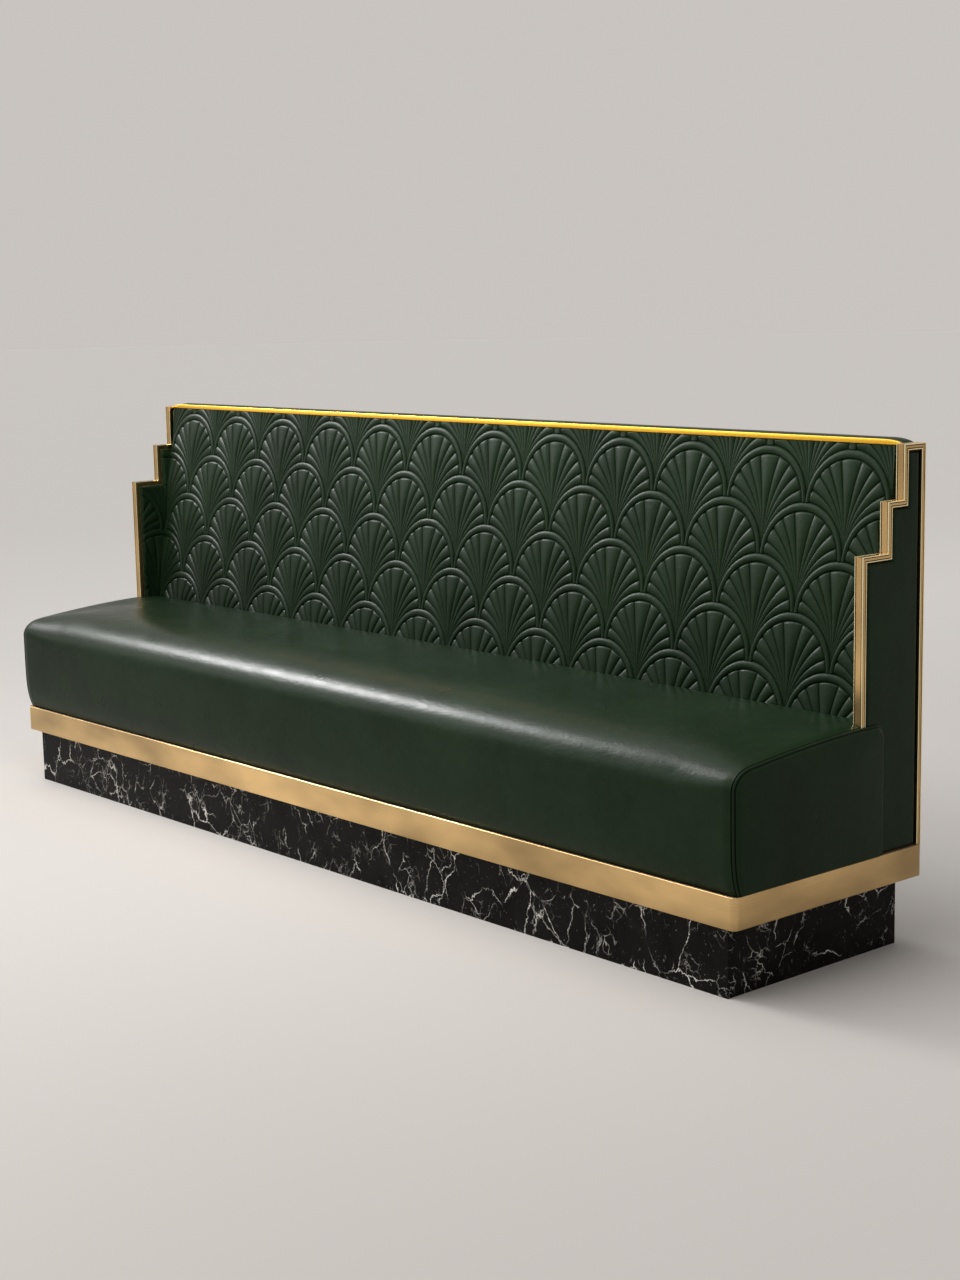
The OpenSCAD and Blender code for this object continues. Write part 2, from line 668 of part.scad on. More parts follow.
module end_frame_right() color(brass) placed() end_frame();
module end_frame_left() color(brass) placed() mirror([1, 0, 0]) end_frame();
module end_core_right() color(timber) placed() end_core();
module end_core_left() color(timber) placed() mirror([1, 0, 0]) end_core();
module end_infill_right() color(leather) placed() end_infill();
module end_infill_left() color(leather) placed() mirror([1, 0, 0]) end_infill();
module wing_pad_right() color(leather) placed() wing_pad();
module wing_pad_left() color(leather) placed() mirror([1, 0, 0]) wing_pad();

// Fasteners

module section_bolts() color(steel) placed() for (i = [0 : bay_n - 1])
    translate([x_side * (2 * i + 1 - bay_n) / bay_n, joint_y - seat_board_t, bolt_z]) rotate([-90, 0, 0]) {
        translate([0, 0, -bolt_head_h]) cylinder(h = bolt_head_h, d = bolt_head_d, $fn = 6);
        cylinder(h = seat_board_t + foot_rail_t + bolt_head_h + bolt_tail, d = bolt_d);
        translate([0, 0, seat_board_t + foot_rail_t]) cylinder(h = bolt_head_h, d = bolt_head_d, $fn = 6);
    }

module end_screws() core_screw_at(x_side - rib_t) {
    translate([0, 0, -screw_head_h]) cylinder(h = screw_head_h, d = screw_head_d);
    cylinder(h = rib_t + screw_bite, d = screw_d);
}

module end_core_screws() color(steel) placed() {
    end_screws();
    mirror([1, 0, 0]) end_screws();
}

plinth_front_slab();
plinth_back_slab();
plinth_left_slab();
plinth_right_slab();
plinth_long_boards();
plinth_cross_boards();
base_board();
base_long_rails();
base_end_rails();
base_cross_rails();
brass_band();
seat_front_board();
seat_back_board();
seat_end_boards();
seat_ribs();
seat_webbing();
seat_foam();
seat_cover();
seat_end_pad_left();
seat_end_pad_right();
back_ribs();
back_foot_rail();
back_top_rail();
back_board();
back_foam();
quilted_back();
rear_panel();
top_roll();
gold_strip();
wing_pad_left();
wing_pad_right();
end_core_left();
end_core_right();
end_infill_left();
end_infill_right();
end_frame_left();
end_frame_right();
section_bolts();
end_core_screws();
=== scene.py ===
import json
import math

import bmesh
import bpy
import numpy as np
from mathutils import Matrix, Vector, noise


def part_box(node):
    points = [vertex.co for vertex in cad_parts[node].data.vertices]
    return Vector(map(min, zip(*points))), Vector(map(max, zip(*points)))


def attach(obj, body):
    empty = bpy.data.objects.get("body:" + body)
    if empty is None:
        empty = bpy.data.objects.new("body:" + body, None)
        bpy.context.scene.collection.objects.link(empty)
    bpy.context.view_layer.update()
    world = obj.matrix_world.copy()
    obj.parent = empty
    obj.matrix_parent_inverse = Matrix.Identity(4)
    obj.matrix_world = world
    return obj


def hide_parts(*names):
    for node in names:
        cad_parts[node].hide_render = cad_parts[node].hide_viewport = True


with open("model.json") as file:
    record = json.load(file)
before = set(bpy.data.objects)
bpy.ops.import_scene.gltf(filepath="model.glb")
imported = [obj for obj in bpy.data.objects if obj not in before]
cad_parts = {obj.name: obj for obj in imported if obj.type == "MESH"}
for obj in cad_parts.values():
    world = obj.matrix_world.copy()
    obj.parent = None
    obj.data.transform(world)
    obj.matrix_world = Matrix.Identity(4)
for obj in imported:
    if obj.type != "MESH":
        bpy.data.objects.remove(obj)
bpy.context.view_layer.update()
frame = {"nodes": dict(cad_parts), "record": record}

MM = 0.001
LOW, HIGH = 0, 1
SIDES = ((1, "right"), (-1, "left"))


def reach(node, end, axis):
    """How far a CAD node reaches along an axis at its LOW or HIGH end, to a tenth of a millimetre"""
    return round(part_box(node)[end]["XYZ".index(axis)], 4)


# Places in the shared frame, in metres
X_END = reach("seat_end_pad_right", HIGH, "X")
X_SIDE = reach("seat_cover", HIGH, "X")
X_LAP = reach("end_frame_right", HIGH, "X") + 0.3 * MM
X_IN = reach("end_frame_right", LOW, "X")
X_WING = reach("wing_pad_right", LOW, "X")
X_CORE = reach("end_core_right", HIGH, "X")
QUILT_HALF = reach("quilted_back", HIGH, "X")
BASE_Z = reach("seat_cover", LOW, "Z") + 0.5 * MM
DECK_Z = reach("seat_webbing", HIGH, "Z") + 1.5 * MM
SEAT_Z = reach("seat_end_pad_right", HIGH, "Z")
SEAT_FRONT = reach("seat_cover", LOW, "Y")
BOX_Y = reach("seat_front_board", LOW, "Y")
REAR_Y = reach("end_frame_right", HIGH, "Y")

# The steps of an end frame and the slope of the back are as in the CAD, and no box gives them
STEP_Y = (reach("end_frame_right", LOW, "Y"), 0.174, 0.224)
STEP_Z = (0.850, 0.956, reach("end_frame_right", HIGH, "Z"))
LEAN = math.radians(8.5)
QUILT_TOP = (0.23337, reach("wing_pad_right", HIGH, "Z"))


# Helpers for materials

def link(tree, socket, value):
    """Sets a socket to a value, or joins another socket to it"""
    if isinstance(value, bpy.types.NodeSocket):
        tree.links.new(value, socket)
    else:
        socket.default_value = value


def add(tree, kind, inputs=None, **props):
    """A new node with its properties and inputs set"""
    node = tree.nodes.new(kind)
    for key, value in props.items():
        setattr(node, key, value)
    for key, value in (inputs or {}).items():
        link(tree, node.inputs[key], value)
    return node


def new_material(name):
    """A material, its node tree and its shader"""
    material = bpy.data.materials.new(name)
    material.use_nodes = True
    tree = material.node_tree
    return material, tree, tree.nodes["Principled BSDF"]


def coords(tree, scale=(1, 1, 1), turn=(0, 0, 0)):
    """Places on the object in metres, scaled and turned"""
    place = add(tree, "ShaderNodeTexCoord").outputs["Object"]
    return add(tree, "ShaderNodeMapping", {"Vector": place, "Scale": scale, "Rotation": turn}).outputs[0]


def noise_at(tree, vector, scale, detail=2, rough=0.5, distortion=0, output="Fac"):
    """Soft noise about 1 / scale in size"""
    inputs = {"Vector": vector, "Scale": scale, "Detail": detail, "Roughness": rough,
              "Distortion": distortion}
    return add(tree, "ShaderNodeTexNoise", inputs).outputs[output]


def cells_at(tree, vector, scale, feature="F1"):
    """Distance from the middle or, with DISTANCE_TO_EDGE, from the border of cells 1 / scale in size"""
    inputs = {"Vector": vector, "Scale": scale, "Randomness": 1}
    return add(tree, "ShaderNodeTexVoronoi", inputs, feature=feature).outputs["Distance"]


def remap(tree, value, low, high, to_low, to_high, kind="LINEAR"):
    """A value moved from the range low to high into the range to_low to to_high, and held inside it"""
    inputs = {"Value": value, "From Min": low, "From Max": high, "To Min": to_low, "To Max": to_high}
    return add(tree, "ShaderNodeMapRange", inputs, interpolation_type=kind).outputs["Result"]


def mix(tree, factor, a, b):
    """Colour a where factor is 0 and b where it is 1"""
    inputs = {"Factor": factor, "A": a, "B": b}
    return add(tree, "ShaderNodeMix", inputs, data_type="RGBA").outputs["Result"]


def maths(tree, operation, a, b):
    return add(tree, "ShaderNodeMath", {0: a, 1: b}, operation=operation).outputs[0]


def vector_maths(tree, operation, *values, output="Vector"):
    return add(tree, "ShaderNodeVectorMath", dict(enumerate(values)), operation=operation).outputs[output]


def bump(tree, height, strength, distance, under=None):
    """Relief from a height, on top of the relief under it"""
    inputs = {"Height": height, "Strength": strength, "Distance": distance}
    if under:
        inputs["Normal"] = under
    return add(tree, "ShaderNodeBump", inputs).outputs[0]


def rgb(r, g, b):
    return (r, g, b, 1)


# Materials

def leather(name, rough):
    """Green leather with pores, fine creases and soft folds, and painted shade that darkens it towards near
    black in its stitched grooves and at its foot
    """
    material, tree, shader = new_material(name)
    deep, plain, light = rgb(0.0062, 0.0165, 0.0058), rgb(0.0105, 0.0260, 0.0098), rgb(0.0165, 0.031, 0.0145)
    # seam is the near black colour of the painted shade in grooves, along rims and at the foot
    seam = rgb(0.0015, 0.003, 0.0018)
    place = coords(tree)
    cloud = noise_at(tree, place, 3.2, 4, 0.55)
    blotch = noise_at(tree, place, 38, 3, 0.6)
    sewn = add(tree, "ShaderNodeAttribute", attribute_name="sewn").outputs["Fac"]
    colour = mix(tree, remap(tree, cloud, 0.35, 0.68, 0, 1), deep, plain)
    colour = mix(tree, remap(tree, blotch, 0.4, 0.75, 0, 0.3), colour, light)
    # Painted shade: the colour goes to near black where the sewn attribute is high
    colour = mix(tree, remap(tree, sewn, 0.15, 0.95, 0, 1), colour, seam)
    link(tree, shader.inputs["Base Color"], colour)

    worn = remap(tree, noise_at(tree, place, 11, 3, 0.6), 0.3, 0.7, rough, rough + 0.1)
    dull = maths(tree, "MULTIPLY", sewn, 0.35)
    link(tree, shader.inputs["Roughness"], maths(tree, "ADD", worn, dull))
    shader.inputs["Specular IOR Level"].default_value = 0.09

    folds = noise_at(tree, coords(tree, (1, 1, 2.2)), 24, 5, 0.62, 1.6)
    creases = noise_at(tree, place, 75, 4, 0.6, 0.4)
    pores = cells_at(tree, place, 620, "SMOOTH_F1")
    normal = bump(tree, noise_at(tree, place, 9, 2), 0.25, 0.004)
    normal = bump(tree, remap(tree, folds, 0.35, 0.62, 0, 1, "SMOOTHSTEP"), 0.10, 0.0016, normal)
    normal = bump(tree, creases, 0.25, 0.0012, normal)
    normal = bump(tree, pores, 0.2, 0.0004, normal)
    link(tree, shader.inputs["Normal"], normal)
    return material


def brushed(name, base, rough, scale, tint, dark=0.75, grain=0.05):
    """Metal with fine lines along the axes where scale is low, and wide soft clouds of darker colour that are
    a painted reflection pattern. tint and dark are the shares of the base colour that the deepest lines and
    the deepest painted reflection clouds have"""
    material, tree, shader = new_material(name)
    lines = noise_at(tree, coords(tree, scale), 1, 5, 0.65)
    wide = noise_at(tree, coords(tree, (2.2, 2.2, 5)), 1, 3)
    tinted, painted_reflection_dark = rgb(*[c * tint for c in base]), rgb(*[c * dark for c in base])
    colour = mix(tree, remap(tree, lines, 0.3, 0.7, 0, 1), tinted, rgb(*base))
    # Painted reflection: wide clouds darken the colour to stand in for uneven reflections
    colour = mix(tree, remap(tree, wide, 0.36, 0.64, 0, 1), colour, painted_reflection_dark)
    link(tree, shader.inputs["Base Color"], colour)
    shader.inputs["Metallic"].default_value = 1
    link(tree, shader.inputs["Roughness"], remap(tree, lines, 0.25, 0.75, rough - 0.05, rough + 0.07))
    link(tree, shader.inputs["Normal"], bump(tree, lines, grain, 0.0003))
    return material


def marble_material():
    """Polished black marble with jagged white veins of three sizes and a few flecks"""
    material, tree, shader = new_material("black_marble")
    black, grey, white = rgb(0.003, 0.003, 0.0027), rgb(0.0125, 0.0115, 0.0100), rgb(0.80, 0.78, 0.73)
    place = coords(tree, (1, 1, 0.8), (0.45, 0.6, 0.2))

    def warped(vector, scale, detail, amount):
        """The places moved about by a noise"""
        wild = noise_at(tree, vector, scale, detail, 0.65, output="Color")
        centred = vector_maths(tree, "SUBTRACT", wild, (0.5, 0.5, 0.5))
        return vector_maths(tree, "MULTIPLY_ADD", centred, (amount,) * 3, vector)

    jagged = warped(warped(place, 6, 2, 0.10), 42, 4, 0.030)
    thick = remap(tree, noise_at(tree, place, 21, 3, 0.6), 0.35, 0.7, 0.35, 1.6)

    def cracks(scale, width, mask_scale, low, high, strength):
        """Broken jagged lines along the borders of cells 1 / scale in size"""
        wide = maths(tree, "MULTIPLY", thick, width * scale)
        away = maths(tree, "DIVIDE", cells_at(tree, jagged, scale, "DISTANCE_TO_EDGE"), wide)
        line = remap(tree, away, 0.35, 1, 1, 0, "SMOOTHSTEP")
        patches = noise_at(tree, place, mask_scale, 3, 0.6)
        return maths(tree, "MULTIPLY", line, remap(tree, patches, low, high, 0, strength, "SMOOTHSTEP"))

    veins = remap(tree, noise_at(tree, place, 160, 2, 0.6), 0.68, 0.76, 0, 0.25)
    for crack in (cracks(6.5, 0.0012, 7, 0.46, 0.56, 1), cracks(15, 0.0009, 11, 0.50, 0.60, 0.8),
                  cracks(38, 0.0006, 15, 0.52, 0.64, 0.5)):
        veins = maths(tree, "MAXIMUM", veins, crack)
    cloud = noise_at(tree, jagged, 12, 5, 0.65)
    ground = mix(tree, remap(tree, cloud, 0.3, 0.75, 0, 1), black, grey)
    link(tree, shader.inputs["Base Color"], mix(tree, veins, ground, white))
    link(tree, shader.inputs["Roughness"], remap(tree, cloud, 0.3, 0.7, 0.14, 0.24))
    shader.inputs["Specular IOR Level"].default_value = 0.05
    return material


def timber_material():
    """Raw plywood with grain along the bench"""
    material, tree, shader = new_material("plywood")
    dark, pale, ring = rgb(0.30, 0.19, 0.10), rgb(0.56, 0.40, 0.24), rgb(0.36, 0.22, 0.11)
    grain = noise_at(tree, coords(tree, (2.2, 22, 60)), 1, 6, 0.6, 1.2)
    wave = {"Vector": coords(tree, (0.6, 3, 9)), "Scale": 1.3, "Distortion": 6, "Detail": 3}
    rings = add(tree, "ShaderNodeTexWave", wave, wave_type="BANDS", bands_direction="Z").outputs["Fac"]
    colour = mix(tree, remap(tree, rings, 0, 1, 0, 0.35), mix(tree, grain, dark, pale), ring)
    link(tree, shader.inputs["Base Color"], colour)
    link(tree, shader.inputs["Roughness"], remap(tree, grain, 0, 1, 0.55, 0.75))
    link(tree, shader.inputs["Normal"], bump(tree, grain, 0.15, 0.0008))
    return material


def foam_material():
    """Cut upholstery foam with open cells"""
    material, tree, shader = new_material("cut_foam")
    tone = noise_at(tree, coords(tree), 6, 3)
    colour = mix(tree, tone, rgb(0.72, 0.64, 0.40), rgb(0.84, 0.78, 0.55))
    link(tree, shader.inputs["Base Color"], colour)
    shader.inputs["Roughness"].default_value = 0.95
    link(tree, shader.inputs["Normal"], bump(tree, cells_at(tree, coords(tree), 420), 0.4, 0.001))
    return material


def webbing_material():
    """Elastic webbing woven from two dark threads"""
    material, tree, shader = new_material("woven_webbing")
    threads = {"Vector": coords(tree), "Scale": 450,
               "Color1": rgb(0.04, 0.04, 0.045), "Color2": rgb(0.09, 0.085, 0.08)}
    weave = add(tree, "ShaderNodeTexChecker", threads)
    link(tree, shader.inputs["Base Color"], weave.outputs["Color"])
    shader.inputs["Roughness"].default_value = 0.8
    link(tree, shader.inputs["Normal"], bump(tree, weave.outputs["Fac"], 0.4, 0.0006))
    return material


MATERIALS = {
    "leather": leather("green_leather", 0.27),
    "quilted": leather("quilted_green_leather", 0.36),
    "brass": brushed("brushed_brass", (0.90, 0.61, 0.275), 0.30, (2.5, 2.5, 1300), 0.88, dark=0.42),
    "brass_frame": brushed("brushed_brass_frame", (0.80, 0.525, 0.225), 0.18, (1300, 4, 4), 0.9, dark=0.62),
    # brass_edge is a lighter brass, a painted highlight on rims and eased edges
    "brass_edge": brushed("brass_edge_painted_highlight", (1.0, 0.84, 0.50), 0.24, (900, 4, 4), 0.95,
                          dark=0.92, grain=0.01),
    # brass_crease is near black, painted shade in the creases of the end frames
    "brass_crease": brushed("brass_crease", (0.07, 0.04, 0.015), 0.4, (900, 4, 4), 0.9,
                            dark=0.8, grain=0.01),
    "gold_trim": brushed("polished_gold", (0.98, 0.54, 0.055), 0.3, (1.2, 40, 40), 0.96,
                         dark=0.88, grain=0.0),
    "marble": marble_material(),
    "timber": timber_material(),
    "foam": foam_material(),
    "webbing": webbing_material(),
    "steel": brushed("zinc_plated_steel", (0.50, 0.52, 0.55), 0.32, (500, 40, 500), 0.85),
}


# Helpers for meshes and pieces

def grid_faces(rows, cols, start=0, close=False):
    """Quads of a grid of points numbered row by row. close joins the last column to the first"""
    last = cols if close else cols - 1
    r, c = np.meshgrid(np.arange(rows - 1), np.arange(last), indexing="ij")
    a = start + r * cols + c
    b = start + r * cols + (c + 1) % cols
    return np.stack([a, a + cols, b + cols, b], axis=-1).reshape(-1, 4)


def joined_grids(grids):
    """Points, faces and painted shade of one sheet, from pairs of a grid of places and a grid of shade values
    """
    points, faces, shade_values, start = [], [], [], 0
    for places, sewn in grids:
        points.append(places.reshape(-1, 3))
        shade_values.append(sewn.ravel())
        faces.append(grid_faces(*sewn.shape, start))
        start += sewn.size
    return np.concatenate(points), np.concatenate(faces), np.concatenate(shade_values)


def lofted(rings):
    """Points and faces of a closed form over a row of rings, with a flat cap at each end"""
    rings = np.array(rings)
    rows, count = rings.shape[:2]
    points = rings.reshape(-1, 3)
    faces = [tuple(f) for f in grid_faces(rows, count, close=True)]
    return points, faces + [tuple(range(count)), tuple(reversed(range(len(points) - count, len(points))))]


def on_side(side, points, faces):
    """A form made for the right end, mirrored where side is the left one"""
    if side > 0:
        return points, faces
    return points * (-1, 1, 1), [tuple(f)[::-1] for f in faces]


def smooth_mesh(name, points, faces, sharp, sewn=None):
    """A mesh that is smooth up to the angle sharp, in degrees, with its painted shade values as an attribute
    """
    mesh = bpy.data.meshes.new(name)
    mesh.from_pydata(np.asarray(points).tolist(), [], [list(f) for f in faces])
    mesh.validate()
    mesh.polygons.foreach_set("use_smooth", np.ones(len(mesh.polygons), dtype=bool))
    mesh.set_sharp_from_angle(angle=math.radians(sharp))
    if sewn is not None:
        shade_values = mesh.attributes.new("sewn", "FLOAT", "POINT")
        shade_values.data.foreach_set("value", np.asarray(sewn, dtype=np.float32))
    mesh.update()
    return mesh


def placed(name, data):
    """A new object in the scene"""
    obj = bpy.data.objects.new(name, data)
    bpy.context.scene.collection.objects.link(obj)
    return obj


def piece(name, mesh, looks, node):
    """A piece of the bench that stands for a CAD node, with its materials in the order of its face indices"""
    obj = placed(name, mesh)
    for look in looks:
        mesh.materials.append(MATERIALS[look])
    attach(obj, "root")
    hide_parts(node)


def soft_piece(name, form, look, node, sharp=50):
    """A padded piece. form is its points, its faces and, where it has painted shade, its shade values"""
    piece(name, smooth_mesh(name, *form[:2], sharp, *form[2:]), [look], node)


def rigid_piece(name, bm, looks, node):
    """A piece from a bmesh with crisp edges"""
    for face in bm.faces:
        face.smooth = True
    mesh = bpy.data.meshes.new(name)
    bm.to_mesh(mesh)
    bm.free()
    mesh.set_sharp_from_angle(angle=math.radians(35))
    piece(name, mesh, looks, node)


def smoothstep(x):
    x = np.clip(x, 0, 1)
    return x * x * (3 - 2 * x)


def dimple(point, amount):
    """Small unevenness of leather over foam"""
    place = Vector(point)
    return amount * (noise.noise(place * 2.6) + 0.35 * noise.noise(place * 9))


def stations(from_end, middle, count):
    """Places along the bench between its end frames: at distances in mm from both ends, where it turns fast,
    and count even ones from -middle to middle"""
    ends = X_SIDE - np.array(from_end) * MM
    return np.concatenate([-ends, np.linspace(-middle, middle, count), ends[::-1]])


def plane_y(z, behind=0.0):
    """Where the front plane of the quilted back is at the height z, or a place behind it"""
    return QUILT_TOP[0] - (QUILT_TOP[1] - z) * math.tan(LEAN) + behind / math.cos(LEAN)


# Quilting. Each fan is a patch of a conformal grid, so that its petal seams meet its rim nearly squarely

# Rows of fans down the slope. MARGIN is from the top edge to the middle of the first row, and BELOW_SEAT is
# how far the rows run on below the seat's top
ROWS = 5
FANS = 12
PITCH = 2 * QUILT_HALF / FANS
MARGIN = 12 * MM
BELOW_SEAT = 34 * MM
FAN_A = PITCH / 2
ROW_H = ((QUILT_TOP[1] - SEAT_Z + BELOW_SEAT) / math.cos(LEAN) - MARGIN) / ROWS

# Depths behind the front plane: of the cover's back, of its face where there is no relief, and of its ends,
# which FLARE sets a little outwards
QUILT_BACK = 12 * MM
CREST = 9 * MM
WRAP = 27 * MM
FLARE = 1.0002

# The wings at the ends: depth of their rear edge, inset from the end frame, width of their rounded edge,
# and how far they run on below the seat's top
WING_BACK = 24 * MM
WING_INSET = 13.3 * MM
WING_EDGE = 7 * MM
WING_BELOW = 20 * MM

# The cover's top edge cuts the arches of the first row. CUT is its height over those fans' stems, in rows,
# and CUT_KAPPA is the place across a fan where its arch meets that edge
CUT = 1 + MARGIN / ROW_H
CUT_KAPPA = math.sqrt(2 / CUT - 1)

# Relief of a fan: the heights of its corded rim, its edge, its swell and its petals, which are lower where
# they are narrow. BAND is the rim's share of the way from the stem to the arch, TIP_R rounds a petal's tip,
# and SEAM_SHADE_SHARE is the part of a petal's half width that the painted shade along its seam takes
BAND = 0.084
KNEE = 1 - BAND
BEAD_H = 6.0 * MM
EDGE_H = 1.0 * MM
SWELL_H = 2.4 * MM
PETAL_H = 6.0 * MM
PETAL_SLOPE = 0.25
TIP_R = 4 * MM
SEAM_SHADE_SHARE = 0.06

# Powers of the relief: how late a petal falls off to its seams and its tip and how full it is, how flat and
# full the corded rim is, and how late the swell falls off to the rim. It rises up to SWELL_TAU
PETAL_LATE, TIP_LATE, PETAL_FULL = 2.6, 3, 0.55
BEAD_FLAT, BEAD_FULL = 3.4, 0.6
SWELL_TAU, SWELL_LATE = 0.35, 10

# How strong the painted shade is along the line inside the rim, its half width, and how strong it is over the
# arch
LINE_SHADE, LINE_W, ARCH_SHADE = 0.8, 1.2 * MM, 0.5

# Angles of the petal seams, and their places across a fan
GROOVES = np.tan(np.radians([17, 38, 56, 75, 90]) / 2)
PETALS = np.concatenate([-GROOVES[::-1], GROOVES])

# Places of a patch's points across a petal, from the stem up to the rim, and over the rim
ACROSS = np.array([-1, -0.94, -0.82, -0.45, 0.45, 0.82, 0.94])
UP = np.array([0, 0.14, 0.28, 0.41, 0.53, 0.64, 0.74, 0.83, 0.90, 0.945, 0.972, 0.988, 1])
OVER = np.array([0.06, 0.2, 0.5, 0.8, 0.94, 1])


def fan_relief(kappa, tau, joined=False):
    """Height of a fan, and its painted shade from 0 to 1, which darkens its seams and the line inside its
    rim.
    kappa runs across its petals from -1 to 1, and tau from 0 at its stem to 1 at its arch. joined makes the
    arch run into its neighbour without a groove"""
    spread = 1 + (kappa * tau) ** 2
    i = np.clip(np.searchsorted(PETALS, kappa, side="right") - 1, 0, len(PETALS) - 2)
    left, right = PETALS[i], PETALS[i + 1]
    q = np.abs(2 * kappa - left - right) / (right - left)
    width = FAN_A * 2 * tau ** 2 * (right - left) / spread
    run = np.hypot(FAN_A * 4 * kappa * tau, ROW_H * 2 * (1 - (kappa * tau) ** 2)) / spread ** 2
    to_band = (KNEE - tau) * run
    fall = q ** PETAL_LATE + np.clip(1 - np.maximum(0, to_band) / TIP_R, 0, 1) ** TIP_LATE
    full = np.minimum(PETAL_H, PETAL_SLOPE * width)
    petal = full * np.clip(1 - fall, 0, 1) ** PETAL_FULL
    p = np.clip((tau - KNEE) / BAND, 0, 0.5 if joined else 1)
    bead = BEAD_H * (1 - np.abs(2 * p - 1) ** BEAD_FLAT) ** BEAD_FULL * (tau > KNEE)
    swell = SWELL_H * (1 - kappa ** 4) * smoothstep(tau / SWELL_TAU)
    swell *= np.clip(1 - (tau / KNEE) ** SWELL_LATE, 0, 1)
    # groove and rim are painted shade: they darken the seams between petals and the line inside the rim
    by_petal, by_arch = (q - 1 + SEAM_SHADE_SHARE) / SEAM_SHADE_SHARE, (p - 1 + SEAM_SHADE_SHARE) / SEAM_SHADE_SHARE
    groove = smoothstep(by_petal) * np.clip(full / (0.5 * PETAL_H), 0, 1) * (to_band >= 0)
    rim = np.maximum(LINE_SHADE - np.abs(to_band) / LINE_W, ARCH_SHADE * by_arch)
    return EDGE_H + petal + bead + swell, np.clip(np.maximum(groove, rim), 0, 1)


def fan_count(k):
    """Fans in row k from the top. Even rows have one more, as they end in half fans"""
    return FANS if k % 2 else FANS + 1


def fan_centre(k, i):
    """The middle of a fan: its place along the bench, and down the slope"""
    return (i - (fan_count(k) - 1) / 2) * PITCH, MARGIN + k * ROW_H


def on_back(u, v, w):
    """A place on the reclined back: along the bench, down the slope, and behind its front plane"""
    y = QUILT_TOP[0] + w * math.cos(LEAN) - v * math.sin(LEAN)
    z = QUILT_TOP[1] - v * math.cos(LEAN) - w * math.sin(LEAN)
    return np.stack([u, y, z], axis=-1)


def fan_range(k, kappa):
    """Lowest and highest tau of a fan in row k along each kappa. The first row ends at the cover's top edge,
    and the last row starts halfway up its fans"""
    low, high = np.zeros_like(kappa), np.ones_like(kappa)
    safe = np.where(np.abs(kappa) < 1e-3, 1e-3, kappa)
    if k == 0:
        cut = (1 - np.sqrt(np.maximum(0, 1 - (CUT * safe) ** 2))) / (CUT * safe ** 2)
        high = np.where(np.abs(kappa) > CUT_KAPPA, 1, np.minimum(1, cut))
    if k == ROWS:
        low = (1 - np.sqrt(np.maximum(0, 1 - safe ** 2))) / safe ** 2
    return low, high


def fan_patch(k, i, lo_side, hi_side):
    """Places of fan i in row k from the kappa lo_side to hi_side, with a skirt to the back of the cover, and
    the painted shade of each"""
    kappa = [(left + right) / 2 + (right - left) / 2 * ACROSS for left, right in zip(PETALS[:-1], PETALS[1:])]
    kappa = np.sort(np.concatenate(kappa + [[1], [-CUT_KAPPA, 0, CUT_KAPPA] if k == 0 else [0]]))
    kappa = kappa[(kappa >= lo_side - 1e-9) & (kappa <= hi_side + 1e-9)]
    low, high = fan_range(k, kappa)
    knee = np.clip(KNEE, low, high)
    petal = low[:, None] + (knee - low)[:, None] * UP
    arch = knee[:, None] + (high - knee)[:, None] * OVER
    tau = np.concatenate([petal, arch], axis=1)
    kappa = np.repeat(kappa[:, None], tau.shape[1], axis=1)
    spread = 1 + (kappa * tau) ** 2
    centre_u, centre_v = fan_centre(k, i)
    u = centre_u + FAN_A * 2 * kappa * tau ** 2 / spread
    v = centre_v - ROW_H * (2 * tau / spread - 1)
    height, sewn = fan_relief(kappa, tau, k == 0)
    w = np.pad(CREST - height, 1, constant_values=QUILT_BACK)
    u, v = np.pad(u, 1, mode="edge"), np.pad(v, 1, mode="edge")
    for column, side in ((0, lo_side), (-1, hi_side)):
        if side == 0:
            w[column] = WRAP
            u[column] *= FLARE
    return on_back(u, v, w), np.pad(sewn, 1, mode="edge")


def quilting():
    """The quilted cover of the back: rows of fans, with half fans at both ends of the even rows"""
    fans = []
    for k in range(ROWS + 1):
        last = fan_count(k) - 1
        for i in range(last + 1):
            lo_side = 0 if k % 2 == 0 and i == 0 else -1
            hi_side = 0 if k % 2 == 0 and i == last else 1
            fans.append(fan_patch(k, i, lo_side, hi_side))
    return joined_grids(fans)


def quilt_relief(u, v):
    """Height and painted shade of the quilting at any place, for the side facings that carry its pattern
    round the corner"""
    height = np.full(np.broadcast(u, v).shape, EDGE_H)
    sewn = np.zeros_like(height)
    for k in range(ROWS + 1):
        shift = 0.5 if k % 2 else 0
        nearest = (np.round(u / PITCH - shift) + shift) * PITCH
        for neighbour in (-1, 0, 1):
            x = (u - nearest - neighbour * PITCH) / FAN_A
            y = (MARGIN + k * ROW_H - v) / ROW_H
            r2 = x ** 2 + (y + 1) ** 2
            tau = r2 / (2 * np.maximum(y + 1, 1e-6))
            kappa = 2 * x / np.maximum(r2, 1e-9)
            inside = (y + 1 > 1e-4) & (tau <= 1) & (np.abs(kappa) <= 1)
            fan, seam = fan_relief(np.clip(kappa, -1, 1), np.clip(tau, 0, 1))
            height, sewn = np.where(inside, fan, height), np.where(inside, seam, sewn)
    return height, sewn


